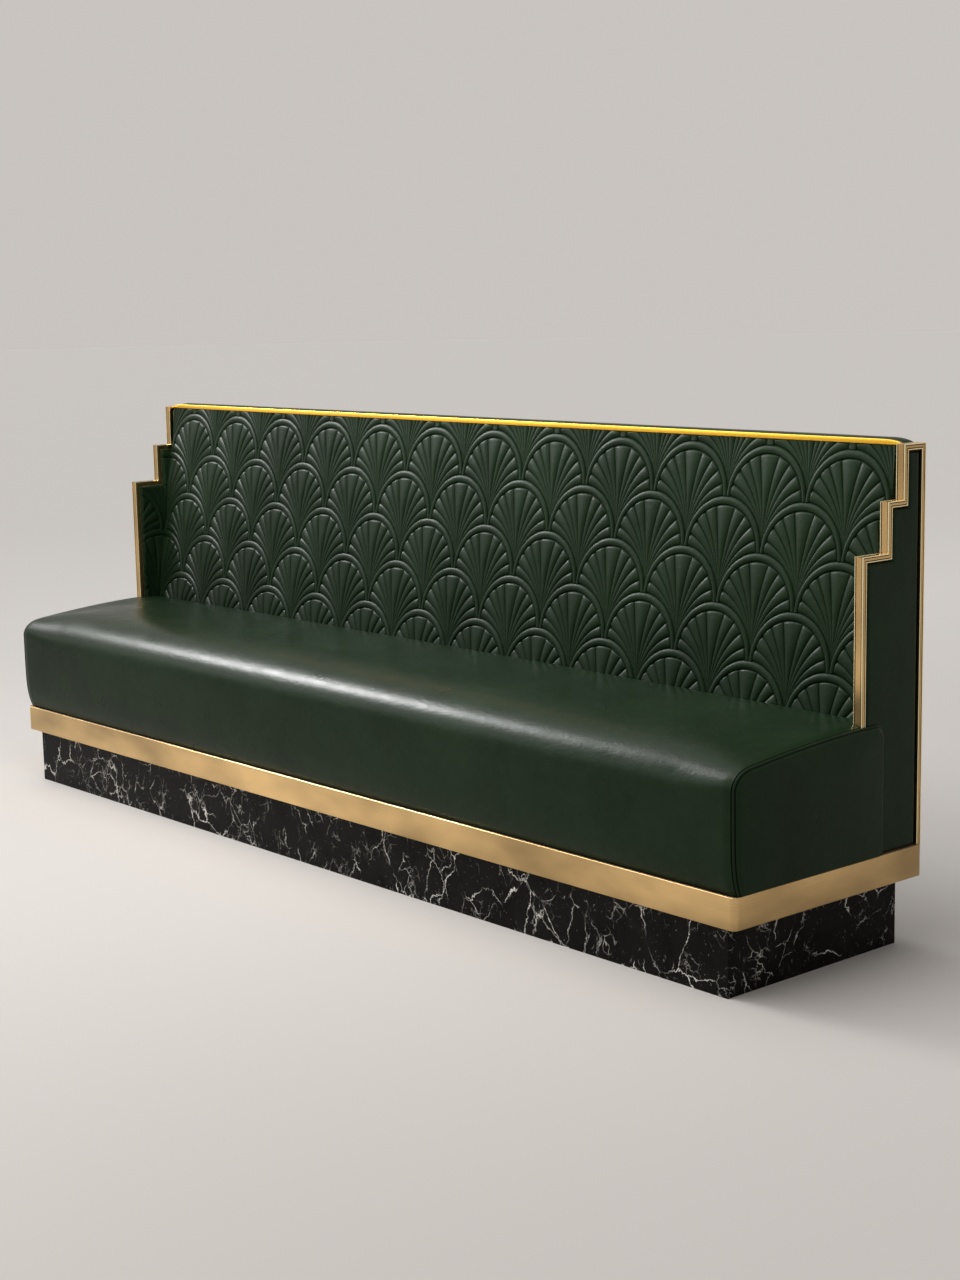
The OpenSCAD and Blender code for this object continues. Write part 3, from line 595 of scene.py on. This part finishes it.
def wing_step(low, high, front, rows, cols):
    """One step of a wing between two heights, from its front edge to behind the face of the quilted cover,
    as a grid of rows by cols"""
    z = np.linspace(low, high, rows)[:, None]
    t = np.linspace(0, 1, cols)[None, :]
    y = front + (plane_y(z, WING_BACK) - front) * t
    z = np.broadcast_to(z, y.shape)
    dy, dz = y - QUILT_TOP[0], z - QUILT_TOP[1]
    w = dy * math.cos(LEAN) - dz * math.sin(LEAN)
    v = -dy * math.sin(LEAN) - dz * math.cos(LEAN)
    height, sewn = quilt_relief(QUILT_HALF + np.maximum(0, -w), v)
    to_edge = np.minimum(y - front, high - z)
    x = X_WING + CREST - height * smoothstep(0.25 + to_edge / WING_EDGE)
    x = np.pad(x, 1, constant_values=X_IN)
    y, z = np.pad(y, 1, mode="edge"), np.pad(z, 1, mode="edge")
    return np.stack([x, y, z], axis=-1), np.pad(sewn, 1, mode="edge")


def wing(side):
    """Quilted facing on the inside of an end, in its two lower steps"""
    step_tops = [z - WING_INSET for z in STEP_Z]
    step_fronts = [y + WING_INSET for y in STEP_Y]
    points, faces, shade_values = joined_grids([
        wing_step(SEAT_Z - WING_BELOW, step_tops[0], step_fronts[0], 124, 44),
        wing_step(step_tops[0], step_tops[1], step_fronts[1], 40, 14),
    ])
    return *on_side(side, points, faces), shade_values


soft_piece("soft_quilting", quilting(), "quilted", "quilted_back", sharp=62)
for side, name in SIDES:
    soft_piece(f"soft_wing_{name}", wing(side), "quilted", f"wing_pad_{name}", sharp=62)


# Seat

# The roll at each end of the seat, and how far its outline draws in from the seat's own towards the end
ROLL_X = X_END - 36 * MM
ROLL_TOP, ROLL_FRONT, ROLL_REAR, ROLL_FOOT = 20 * MM, 16 * MM, 12 * MM, 6 * MM
CROWN = reach("seat_cover", HIGH, "Z") - SEAT_Z

# Depth, height and fullness of the round along the front edge, up to ROUND_X and at the ends
ROUND_X = 1.2
ROUND_D, ROUND_H, ROUND_FULL = (0.170, 0.058), (0.105, 0.050), (2.4, 2.3)

# How far the front is drawn in at its foot, and the place and radius of the seat's rear edge
TUCK = 17 * MM
SEAT_BEHIND = 2 * MM
SEAT_REAR_R = 16 * MM

# The fall of the seat's front corners, where it starts along the bench, and its length towards the front
SLUMP = 32 * MM
SLUMP_X = 1.18
SLUMP_RUN = 0.38

# Unevenness of the seat, and the depth, place and width of the hollow that sitting leaves along it
UNEVEN = 0.9 * MM
HOLLOW = 3.0 * MM
HOLLOW_Y, HOLLOW_W = -0.02, 0.11

# Where these start and over what length they fade in: from the seat's ends, at its top, down its front and
# up from its foot
ENDS_RUN = 80 * MM
TOP_Z0, TOP_RUN = 0.40, 60 * MM
FRONT_Z0, FRONT_RUN = 0.47, 50 * MM
TOP_DEPTH = 30 * MM

# Thickness of the leather with its wadding over the foam
COVER = 10 * MM


def roll_angle(x):
    """Angle of the end roll at x, from 0 at its start to a quarter turn at the bench's end"""
    return np.arcsin(np.clip((np.abs(x) - ROLL_X) / (X_END - ROLL_X), 0, 1))


def end_share(x, start):
    """0 over the seat's middle up to start, 1 at its ends"""
    return smoothstep((np.abs(x) - start) / (X_END - start))


def slumped(x, y, z, low):
    """Heights lowered towards the front near the seat's ends"""
    drop = SLUMP * end_share(x, SLUMP_X) * np.clip((STEP_Y[0] - y) / SLUMP_RUN, 0, 1) ** 1.6
    return z - drop * np.clip((z - low) / (SEAT_Z - low), 0, 1)


def front_profile(x, a, low):
    """Front face and round of the seat's section at x, drawn in by the end roll's angle a"""
    share = end_share(x, ROUND_X)
    depth, height, full = (mid + (end - mid) * share for mid, end in (ROUND_D, ROUND_H, ROUND_FULL))
    in_front, in_top = ROLL_FRONT * (1 - np.cos(a)), ROLL_TOP * (1 - np.cos(a))
    top = SEAT_Z + CROWN * np.maximum(0, 1 - (x / X_SIDE) ** 2)
    knee = top - height
    t = np.concatenate([[0, 0.014, 0.03], np.linspace(0, 1, 15)[1:-1]])
    y_face = SEAT_FRONT + in_front + TUCK * (1 - t) ** 6
    z_face = low + t * (knee - low)
    angle = np.linspace(0, math.pi / 2, 27)
    y_round = SEAT_FRONT + depth - (depth - in_front) * np.cos(angle) ** (2 / full)
    z_round = knee + (height - in_top) * np.sin(angle) ** (2 / full)
    return np.concatenate([y_face, y_round]), np.concatenate([z_face, z_round]), top - in_top


def seat_section(x):
    """Closed section of the seat at x, from its foot over its front and top to its rear, and back round the
    room that the seat box takes"""
    y, z, top = front_profile(x, roll_angle(x), BASE_Z)
    rear_y = plane_y(top, SEAT_BEHIND)
    t = np.linspace(0, 1, 30)[1:]
    y_top = y[-1] + (rear_y - SEAT_REAR_R - y[-1]) * t
    turn = np.linspace(0, math.pi / 2, 7)[1:]
    y_rear = rear_y - SEAT_REAR_R + SEAT_REAR_R * np.sin(turn)
    z_rear = top - SEAT_REAR_R * (1 - np.cos(turn))
    y_tail, z_tail = (plane_y(DECK_Z, SEAT_BEHIND), BOX_Y, BOX_Y), (DECK_Z, DECK_Z, BASE_Z)
    y = np.concatenate([y, y_top, y_rear, y_tail])
    z = np.concatenate([z, np.full(len(t), top), z_rear, z_tail])
    return np.stack([np.full(len(y), x), y, slumped(x, y, z, BASE_Z)], axis=-1)


def settle(section):
    """Adds the leather's unevenness to the soft places of a seat section, and the hollow to its top"""
    for place in section[1:-4]:
        fade = float(smoothstep((X_SIDE - abs(place[0])) / ENDS_RUN))
        lift = dimple(place, UNEVEN) * fade
        on_top = place[2] > SEAT_Z - TOP_DEPTH
        hollow = HOLLOW * math.exp(-((place[1] - HOLLOW_Y) / HOLLOW_W) ** 2) * fade if on_top else 0
        place[2] += (lift - hollow) * float(smoothstep((place[2] - TOP_Z0) / TOP_RUN))
        down_front = float(smoothstep((FRONT_Z0 - place[2]) / FRONT_RUN))
        place[1] -= lift * down_front * float(smoothstep((place[2] - BASE_Z) / FRONT_RUN))


def with_foot_shade(points, sewn=0):
    """Painted shade of each point, full on the foot that is drawn in at the band"""
    return np.where(points[:, 2] < BASE_Z + 3 * MM, 1, sewn)


def seat_cushion():
    """The leather cover of the seat, between the end borders"""
    xs = stations([0, 0.6, 1.7, 3.7, 6.7, 11.7, 17.7, 25.7, 37.7, 52.7], 1.305, 125)
    sections = [seat_section(x) for x in xs]
    for section in sections:
        settle(section)
    points, faces = lofted(sections)
    # Painted shade on the seat's foot
    return points, faces, with_foot_shade(points)


def foam_core():
    """The foam inside the cover, shaped as the cover is"""
    rings = []
    for x in np.linspace(COVER - X_SIDE, X_SIDE - COVER, 57):
        ring = seat_section(x)
        tangent = np.roll(ring, -1, axis=0) - np.roll(ring, 1, axis=0)
        tangent /= np.hypot(tangent[:, 1], tangent[:, 2])[:, None]
        soft = len(ring) - 3
        ring[:soft, 1] += COVER * tangent[:soft, 2]
        ring[:soft, 2] -= COVER * tangent[:soft, 1]
        ring[soft, 1] -= COVER
        ring[0, 1:] = ring[1, 1], BASE_Z
        rings.append(ring)
    return lofted(rings)


soft_piece("soft_seat", seat_cushion(), "leather", "seat_cover")
soft_piece("soft_seat_foam", foam_core(), "foam", "seat_foam")


# Borders at the ends of the seat

# The lap outside the end frame: its rear edge and corner, and where the border steps out to pass the frame
LAP_Y = STEP_Y[0] + 70 * MM
LAP_R = 20 * MM
LAP_START = STEP_Y[0] - 0.7 * MM

# The twin seam: the roll angles of its grooves, the depths of groove, lip, strap and swell, and the angles
# from a groove to its lip, to the swell beside it and to where the leather is plain
SEAMS = (math.radians(40), math.radians(57))
GROOVE, LIP, STRAP, SWELL = -3.2 * MM, -1.3 * MM, 1.8 * MM, 0.3 * MM
TO_LIP, TO_SWELL, TO_PLAIN = math.radians(1.9), math.radians(3.5), math.radians(5)

# How far the end's face stands out, and the place on it that its rings close in on
PAD_BULGE = 5 * MM
PAD_MIDDLE = np.array([0, -0.06, (BASE_Z + SEAT_Z) / 2])


def border_outline(a, out):
    """Outline of the end border at the roll angle a, moved out along its normal"""
    x = ROLL_X + (X_END - ROLL_X) * math.sin(a)
    low = BASE_Z + ROLL_FOOT * (1 - math.cos(a))
    y, z, top = front_profile(x, a, low)
    rear = LAP_Y - ROLL_REAR * (1 - math.cos(a))
    end = rear - LAP_R
    step_out = LAP_START + np.array([-0.2, 0.2]) * MM
    y_top = np.sort(np.concatenate([y[-1] + (end - y[-1]) * np.linspace(0, 1, 17)[1:-1], step_out]))
    turn = np.linspace(0, math.pi / 2, 9)
    y_rear = end + LAP_R * np.sin(turn)
    z_rear = top - LAP_R * (1 - np.cos(turn))
    down = np.linspace(0, 1, 12)[1:]
    z_down = top - LAP_R + (low - top + LAP_R) * down
    y_back = rear + (y[0] - rear) * np.linspace(0, 1, 16)[1:-1]
    y = np.concatenate([y, y_top, y_rear, np.full(len(down), rear), y_back])
    z = np.concatenate([z, np.full(len(y_top), top), z_rear, z_down, np.full(len(y_back), low)])
    along_y, along_z = np.roll(y, -1) - np.roll(y, 1), np.roll(z, -1) - np.roll(z, 1)
    length = np.hypot(along_y, along_z)
    y = y - out * along_z / length
    z = slumped(x, y, z + out * along_y / length, low)
    return np.stack([np.full(len(y), x), y, z], axis=-1)


def border_ring(a, out=0.0):
    """The same, with the lap held outside the end frame"""
    ring, lap = border_outline(a, out), border_outline(max(a, float(roll_angle(X_LAP))), out)
    return np.where((ring[:, 1] > LAP_START)[:, None], lap, ring)


def border_profile():
    """Roll angle and height of each ring of a border, from the seat's cover over the twin seam to the end"""
    first, second = SEAMS
    seam = ((-TO_LIP, LIP), (0, GROOVE), (TO_LIP, LIP))
    strap = ((0.24, 0.75), (0.5, 1), (0.76, 0.75))
    profile = [(a, 0) for a in np.linspace(float(roll_angle(X_SIDE)), first - TO_PLAIN, 7)]
    profile.append((first - TO_SWELL, SWELL))
    profile += [(first + turn, out) for turn, out in seam]
    profile += [(first + (second - first) * share, STRAP * lift) for share, lift in strap]
    profile += [(second + turn, out) for turn, out in seam]
    profile.append((second + TO_SWELL, SWELL))
    return profile + [(a, 0) for a in np.linspace(second + TO_PLAIN, math.pi / 2, 8)]


def seat_border(side):
    """Padded border at one end of the seat, from its hidden inner face to the bulge of its outer one"""
    profile = border_profile()
    rings = [border_ring(a, out) for a, out in profile]
    inner, outer = [], []
    for q in (0.04, 0.16, 0.33, 0.5, 0.66, 0.8, 0.9, 0.97):
        ring = PAD_MIDDLE + (rings[0] - PAD_MIDDLE) * q
        ring[:, 0] = np.where(ring[:, 1] > LAP_START, X_LAP, X_SIDE)
        inner.append(ring)
    for q in (0.97, 0.93, 0.87, 0.78, 0.66, 0.5, 0.33, 0.16, 0.04):
        ring = PAD_MIDDLE + (rings[-1] - PAD_MIDDLE) * q
        ring[:, 0] = X_END + PAD_BULGE * (1 - q ** 3)
        outer.append(ring)
    points, faces = lofted(inner + rings + outer)
    # Painted shade in the grooves of the twin seam, and on the foot
    sewn = [0.0] * len(inner) + [float(out < -0.4 * MM) for a, out in profile] + [0.0] * len(outer)
    sewn = with_foot_shade(points, np.repeat(sewn, len(rings[0])))
    return *on_side(side, points, faces), sewn


for side, name in SIDES:
    soft_piece(f"soft_border_{name}", seat_border(side), "leather", f"seat_end_pad_{name}")


# Infills of the end frames

# Their outer face, their inset from the frame's outline, the width of their rounded edge, and their crown
INFILL_X = reach("end_infill_right", HIGH, "X")
INFILL_INSET = 16 * MM
INFILL_SOFT = 9 * MM
INFILL_CROWN, INFILL_CROWN_RUN = 0.6 * MM, 50 * MM
GRID_STEP = 22 * MM


def near_lines(values, soft):
    """Grid lines over a range, denser beside each of the given places"""
    offsets = soft * np.array([0, 0.06, 0.16, 0.3, 0.5, 0.75, 1, 1.5])
    beside = [v + sign * offset for v in values for offset in offsets for sign in (-1, 1)]
    lines = {round(v, 6) for v in beside if values[0] - 1e-9 <= v <= values[-1] + 1e-9}
    lines |= {round(v, 6) for v in np.arange(values[0], values[-1], GRID_STEP)}
    lines = sorted(lines)
    return np.array([v for i, v in enumerate(lines) if i == 0 or v - lines[i - 1] > 1e-4])


def end_infill(side):
    """Padded leather inside an end frame, rounded along its stepped outline"""
    ys = [y + INFILL_INSET for y in STEP_Y] + [REAR_Y - INFILL_INSET]
    zs = [BASE_Z + 0.5 * MM] + [z - INFILL_INSET for z in STEP_Z]
    y, z = near_lines(ys, INFILL_SOFT), near_lines(zs, INFILL_SOFT)
    grid_y, grid_z = np.meshgrid(y, z, indexing="ij")
    outline = [(ys[0], zs[0]), (ys[0], zs[1]), (ys[1], zs[1]), (ys[1], zs[2]),
               (ys[2], zs[2]), (ys[2], zs[3]), (ys[3], zs[3]), (ys[3], zs[0])]
    gap = np.full(grid_y.shape, 1.0)
    for (ay, az), (by, bz) in zip(outline, outline[1:] + outline[:1]):
        nearest_y = np.clip(grid_y, min(ay, by), max(ay, by))
        nearest_z = np.clip(grid_z, min(az, bz), max(az, bz))
        gap = np.minimum(gap, np.hypot(grid_y - nearest_y, grid_z - nearest_z))
    puff = np.sqrt(np.clip(1 - (1 - np.minimum(gap / INFILL_SOFT, 1)) ** 2, 0, 1))
    x = X_CORE + (INFILL_X - X_CORE) * puff + INFILL_CROWN * smoothstep(gap / INFILL_CROWN_RUN)
    points = np.stack([x, grid_y, grid_z], axis=-1).reshape(-1, 3)
    cells = grid_faces(len(y), len(z))
    middle = points[cells].mean(axis=1)
    top = np.where(middle[:, 1] < ys[1], zs[1], np.where(middle[:, 1] < ys[2], zs[2], zs[3]))
    cells = cells[middle[:, 2] < top]
    used = np.unique(cells)
    return on_side(side, points[used], np.searchsorted(used, cells))


for side, name in SIDES:
    soft_piece(f"soft_infill_{name}", end_infill(side), "leather", f"end_infill_{name}",
               sharp=70)


# Roll along the top of the back

# Its room, the height where its dome springs, how far and over what length its ends fall, its unevenness
TOP_Y = (reach("top_roll", LOW, "Y"), REAR_Y)
TOP_Z = (reach("top_roll", LOW, "Z"), reach("top_roll", HIGH, "Z"))
TOP_SPRING = TOP_Z[0] + 14 * MM
TOP_FALL, TOP_FALL_RUN = 13 * MM, 42 * MM
TOP_UNEVEN = 0.5 * MM


def top_roll():
    """Padded roll with a domed section, which falls at both ends"""
    middle, half = (TOP_Y[0] + TOP_Y[1]) / 2, (TOP_Y[1] - TOP_Y[0]) / 2
    angle = np.linspace(0, math.pi, 25)
    rings = []
    for x in stations([0, 1, 2.5, 5, 9, 14, 20, 28, 38, 50], 1.31, 90):
        to_end = min((X_SIDE - abs(x)) / TOP_FALL_RUN, 1)
        drop = TOP_FALL * (1 - math.sqrt(1 - (1 - to_end) ** 2))
        rise = TOP_Z[1] - TOP_SPRING - drop + dimple((x, 3, 0), TOP_UNEVEN)
        y = np.concatenate([TOP_Y[:1], middle - half * np.cos(angle), TOP_Y[1:]])
        z = np.concatenate([TOP_Z[:1], TOP_SPRING + rise * np.sin(angle) ** 0.75, TOP_Z[:1]])
        rings.append(np.stack([np.full(len(y), x), y, z], axis=-1))
    return lofted(rings)


soft_piece("soft_roll", top_roll(), "leather", "top_roll")


# Panel on the rear of the back

# Its heights, its thickness, the part of it that rounds off at the edges, its crown and its unevenness
PANEL_Z = (reach("rear_panel", LOW, "Z"), reach("rear_panel", HIGH, "Z"))
PANEL_T = 9 * MM
PANEL_ROUND = PANEL_T - 1.6 * MM
PANEL_CROWN, PANEL_CROWN_RUN = 1.4 * MM, 140 * MM
PANEL_UNEVEN = 0.7 * MM


def rear_panel():
    """Leather drawn over thin wadding on the back board, rounded at its edges"""
    from_edge = [0, 0.4, 1.2, 2.5, 4.2, 6.4, 9, 14, 22, 36, 60]
    xs = stations(from_edge, 1.30, 100)
    ends = np.array(from_edge) * MM
    zs = np.concatenate([PANEL_Z[0] + ends, np.linspace(0.30, 0.96, 28), PANEL_Z[1] - ends[::-1]])

    def rounded(gap):
        return np.sqrt(1 - (1 - np.clip(gap / PANEL_T, 0, 1)) ** 2)

    def filled(gap):
        return smoothstep(gap / PANEL_CROWN_RUN)

    to_side, to_end = X_SIDE - np.abs(xs), np.minimum(zs - PANEL_Z[0], PANEL_Z[1] - zs)
    depth = PANEL_ROUND * np.outer(rounded(to_side), rounded(to_end))
    depth += PANEL_CROWN * np.outer(filled(to_side), filled(to_end))
    points = []
    for i, x in enumerate(xs):
        for j, z in enumerate(zs):
            slack = dimple((x, 5, z), PANEL_UNEVEN) * depth[i, j] / PANEL_T
            points.append((x, REAR_Y - PANEL_T + depth[i, j] + slack, z))
    numbers = np.arange(len(points)).reshape(len(xs), len(zs))
    faces = [tuple(reversed(f)) for f in grid_faces(*numbers.shape).tolist()]
    rim = np.concatenate([numbers[0], numbers[1:, -1], numbers[-1, -2::-1], numbers[-2:0:-1, 0]])
    return points, faces + [tuple(reversed(rim.tolist()))]


soft_piece("soft_rear_panel", rear_panel(), "leather", "rear_panel")


# Brass end frames

# The bar's room along x, its depth inwards and its foot, and then its rims, creases and sunk faces
FRAME_X = (X_IN, reach("end_frame_right", HIGH, "X"))
FRAME_D = 13 * MM
FRAME_Z = reach("end_frame_right", LOW, "Z") + 0.2 * MM
RIM, CREASE, SUNK = 2.2 * MM, 1.6 * MM, 1.3 * MM
EDGE_R = 0.8 * MM

# Materials of the bar's faces, and the index of each: plain brass, a lighter brass painted as a highlight on
# the rims and rounded edges, and near black painted as shade in the creases
FRAME_LOOKS = ["brass_frame", "brass_edge", "brass_crease"]
FACE, PAINTED_HIGHLIGHT, CREASE_SHADE = 0, 1, 2


def frame_corners(d):
    """The stepped path of an end frame, moved inwards by d"""
    ys, zs = [y + d for y in STEP_Y] + [REAR_Y - d], [z - d for z in STEP_Z]
    return [(ys[0], FRAME_Z), (ys[0], zs[0]), (ys[1], zs[0]), (ys[1], zs[1]),
            (ys[2], zs[1]), (ys[2], zs[2]), (ys[3], zs[2]), (ys[3], FRAME_Z)]


def rimmed_side(start, end):
    """One side of the bar's section, as places along it and how deep each lies below it, and the material of
    each of
    its faces: rims in a lighter brass that is a painted highlight, a fine crease inside each in near black
    that is painted shade, and a face between them that is slightly sunk"""
    crease = RIM + 0.35 * MM
    face = crease + CREASE + 0.15 * MM
    near = [(start, 0), (RIM, 0), (crease, SUNK), (crease + CREASE, SUNK), (face, 0.6 * SUNK)]
    far = [(end - place, depth) for place, depth in reversed(near)]
    rim = [PAINTED_HIGHLIGHT, PAINTED_HIGHLIGHT, CREASE_SHADE, CREASE_SHADE]
    return near + far, rim + [FACE] + rim[::-1]


def edge_arc(d, x, angles):
    """Places between the two ends of a rounded edge of the bar, about its centre"""
    return [(d + EDGE_R * math.cos(a), x + EDGE_R * math.sin(a)) for a in np.radians(angles)]


def frame_bar():
    """The section of the brass bar as places (inward, x) and the material of each of its faces"""
    inner, outer = FRAME_X
    front, front_looks = rimmed_side(EDGE_R, outer - inner)
    side, side_looks = rimmed_side(EDGE_R, FRAME_D)
    places = [(depth, inner + t) for t, depth in front]
    places += edge_arc(EDGE_R, outer - EDGE_R, (150, 120))
    places += [(t, outer - depth) for t, depth in side]
    places += edge_arc(FRAME_D - EDGE_R, outer - EDGE_R, (60, 30))
    places += [(FRAME_D, outer - EDGE_R), (FRAME_D, inner)]
    places += [(EDGE_R, inner), (0.3 * EDGE_R, inner + 0.3 * EDGE_R)]
    edge = [PAINTED_HIGHLIGHT] * 3
    return places, front_looks + edge + side_looks + edge + [FACE, FACE, PAINTED_HIGHLIGHT, PAINTED_HIGHLIGHT]


def end_frame(side, name):
    """A brass bar mitred round the stepped outline of an end, with rims in a lighter brass as a painted
    highlight and creases in near black as painted shade
    """
    section, looks = frame_bar()
    count = len(section)
    paths = [[(side * x, y, z) for y, z in frame_corners(inward)] for inward, x in section]
    bm = bmesh.new()
    verts = [bm.verts.new(place) for corner in zip(*paths) for place in corner]
    for a in range(0, len(verts) - count, count):
        for i in range(count):
            j = (i + 1) % count
            face = bm.faces.new([verts[a + i], verts[a + j], verts[a + count + j], verts[a + count + i]])
            face.material_index = looks[i]
    for cap in (verts[:count], verts[-count:]):
        bmesh.ops.triangulate(bm, faces=[bm.faces.new(cap)])
    bmesh.ops.recalc_face_normals(bm, faces=bm.faces)
    rigid_piece(f"eased_end_frame_{name}", bm, FRAME_LOOKS, f"end_frame_{name}")


for side, name in SIDES:
    end_frame(side, name)


# Parts whose CAD shape is kept, with eased edges

def eased(node, name, looks, width, narrower=0):
    """A copy of a CAD node whose sharp edges are rounded by width and get the second of the looks. narrower
    draws in its two ends"""
    bm = bmesh.new()
    bm.from_mesh(frame["nodes"][node].data)
    bmesh.ops.remove_doubles(bm, verts=bm.verts, dist=1e-5)
    bmesh.ops.dissolve_limit(bm, angle_limit=math.radians(0.5), verts=bm.verts, edges=bm.edges)
    for vert in bm.verts:
        vert.co.x -= math.copysign(narrower, vert.co.x)
    hard = [e for e in bm.edges if len(e.link_faces) == 2 and e.calc_face_angle(0) > math.radians(60)]
    made = bmesh.ops.bevel(bm, geom=hard, offset=width, segments=3, profile=0.5, affect="EDGES",
                           clamp_overlap=True)
    for face in made["faces"]:
        face.material_index = 1
    bmesh.ops.triangulate(bm, faces=[f for f in bm.faces if len(f.verts) > 4])
    rigid_piece(name, bm, looks, node)


eased("gold_strip", "eased_gold_strip", ["gold_trim", "gold_trim"], 1.0 * MM)
# The band's rounded edges get brass_edge, a lighter brass that is a painted highlight
eased("brass_band", "eased_brass_band", ["brass", "brass_edge"], 1.5 * MM)
eased("back_foam", "soft_back_foam", ["foam", "foam"], 4 * MM, narrower=3 * MM)


# Materials of the CAD nodes

for part in frame["record"]["subparts"]:
    node = frame["nodes"][part["node"]]
    look = "brass_frame" if part["node"].startswith("end_frame") else part["material_slot"]
    node.data.materials.clear()
    node.data.materials.append(MATERIALS[look])


# Floor and background

FLOOR_RADIUS = 60


def stage_material():
    """Pale floor with painted shade that darkens one side near the bench, and which meets the background far
    away
    """
    material, tree, shader = new_material("pale_floor")
    low, high = rgb(0.725, 0.693, 0.664), rgb(0.75, 0.718, 0.69)
    painted_floor_shade, distant = rgb(0.575, 0.545, 0.52), rgb(0.680, 0.650, 0.622)
    place = coords(tree)
    tone = noise_at(tree, place, 0.8, 3)
    along = vector_maths(tree, "DOT_PRODUCT", place, (0.84, 0.1, 0), output="Value")
    away = vector_maths(tree, "LENGTH", place, output="Value")
    to_right = remap(tree, along, -1.6, 1.8, 0, 1, "SMOOTHSTEP")
    near = remap(tree, away, 3, 9, 1, 0, "SMOOTHSTEP")
    # Painted shade: the floor darkens towards one side near the bench, where the lamps' light falls off
    colour = mix(tree, maths(tree, "MULTIPLY", to_right, near), mix(tree, tone, low, high), painted_floor_shade)
    colour = mix(tree, remap(tree, away, 3.5, 9, 0, 1, "SMOOTHSTEP"), colour, distant)
    link(tree, shader.inputs["Base Color"], colour)
    link(tree, shader.inputs["Roughness"], remap(tree, tone, 0, 1, 0.6, 0.7))
    shader.inputs["Specular IOR Level"].default_value = 0.08
    return material


def background(tree):
    """Soft light from all round, seen as a pale backdrop by the camera, in reflections and through glass"""
    tree.nodes.clear()
    path = add(tree, "ShaderNodeLightPath")
    seen = maths(tree, "MAXIMUM", path.outputs["Is Camera Ray"], path.outputs["Is Transmission Ray"])
    seen = maths(tree, "MAXIMUM", seen, path.outputs["Is Glossy Ray"])
    ambient = add(tree, "ShaderNodeBackground", {"Color": rgb(1.0, 0.985, 0.97), "Strength": 0.335})
    backdrop = add(tree, "ShaderNodeBackground", {"Color": rgb(0.580, 0.549, 0.521), "Strength": 1.0})
    blend = add(tree, "ShaderNodeMixShader", {0: seen, 1: ambient.outputs[0], 2: backdrop.outputs[0]})
    add(tree, "ShaderNodeOutputWorld", {"Surface": blend.outputs[0]})


bpy.ops.mesh.primitive_circle_add(vertices=96, radius=FLOOR_RADIUS, fill_type="NGON", location=(0, 0, 0))
floor = bpy.context.object
floor.name = "floor"
floor.data.materials.append(stage_material())

world = bpy.context.scene.world or bpy.data.worlds.new("World")
bpy.context.scene.world = world
world.use_nodes = True
background(world.node_tree)


# Lights

def softbox(name, place, target, width, height, power, colour=(1, 1, 1), diffuse=True):
    """A rectangular lamp that faces target. With diffuse off it shows in reflections alone"""
    data = bpy.data.lights.new(name, "AREA")
    data.shape = "RECTANGLE"
    data.size, data.size_y = width, height
    data.energy = power
    data.color = colour
    lamp = placed(name, data)
    lamp.location = place
    lamp.rotation_euler = (Vector(target) - Vector(place)).to_track_quat("-Z", "Y").to_euler()
    lamp.visible_diffuse = diffuse


def sun(name, towards, strength, angle):
    """Light from the direction towards, whose source is angle degrees across"""
    data = bpy.data.lights.new(name, "SUN")
    data.energy = strength
    data.angle = math.radians(angle)
    placed(name, data).rotation_euler = Vector(towards).to_track_quat("Z", "Y").to_euler()


sun("wide", (-0.40, -0.14, 0.91), 1.35, 60)
sun("narrow", (-0.79, -0.18, 0.58), 0.62, 20)
softbox("front", (0.6, -3.8, 2.6), (0.2, 0, 0.3), 3.4, 1.2, 24, (1.0, 0.96, 0.88))
softbox("over", (0, -0.7, 1.95), (0, 0.25, 1.05), 2.8, 0.4, 19)
softbox("side", (-3.4, -3.0, 2.3), (0, 0.2, 0.9), 3.2, 2.0, 48, diffuse=False)
softbox("glint", (-2.35, -0.8, 2.2), (-2.35, -0.25, 0.45), 1.6, 0.5, 185, diffuse=False)


# Camera, solved from the photo's perspective. Its angles are in radians

YAW, PITCH_DOWN, ROLL = 0.8628, 0.164, -0.02
CAMERA_PLACE = (4.0799, -3.2246, 1.3916)
SENSOR, LENS = 36, 59.0

across = Vector((math.cos(YAW), math.sin(YAW), 0))
ahead = Vector((-math.sin(YAW) * math.cos(PITCH_DOWN), math.cos(YAW) * math.cos(PITCH_DOWN),
                -math.sin(PITCH_DOWN)))
upward = across.cross(ahead)
side_axis = across * math.cos(ROLL) + upward * math.sin(ROLL)
up_axis = upward * math.cos(ROLL) - across * math.sin(ROLL)

camera = placed("camera", bpy.data.cameras.new("camera"))
camera.data.sensor_fit = "VERTICAL"
camera.data.sensor_height = SENSOR
camera.data.lens = LENS
turned = Matrix((side_axis, up_axis, -ahead)).transposed().to_4x4()
camera.matrix_world = Matrix.Translation(CAMERA_PLACE) @ turned
bpy.context.scene.camera = camera

bpy.context.scene.view_settings.view_transform = "Standard"
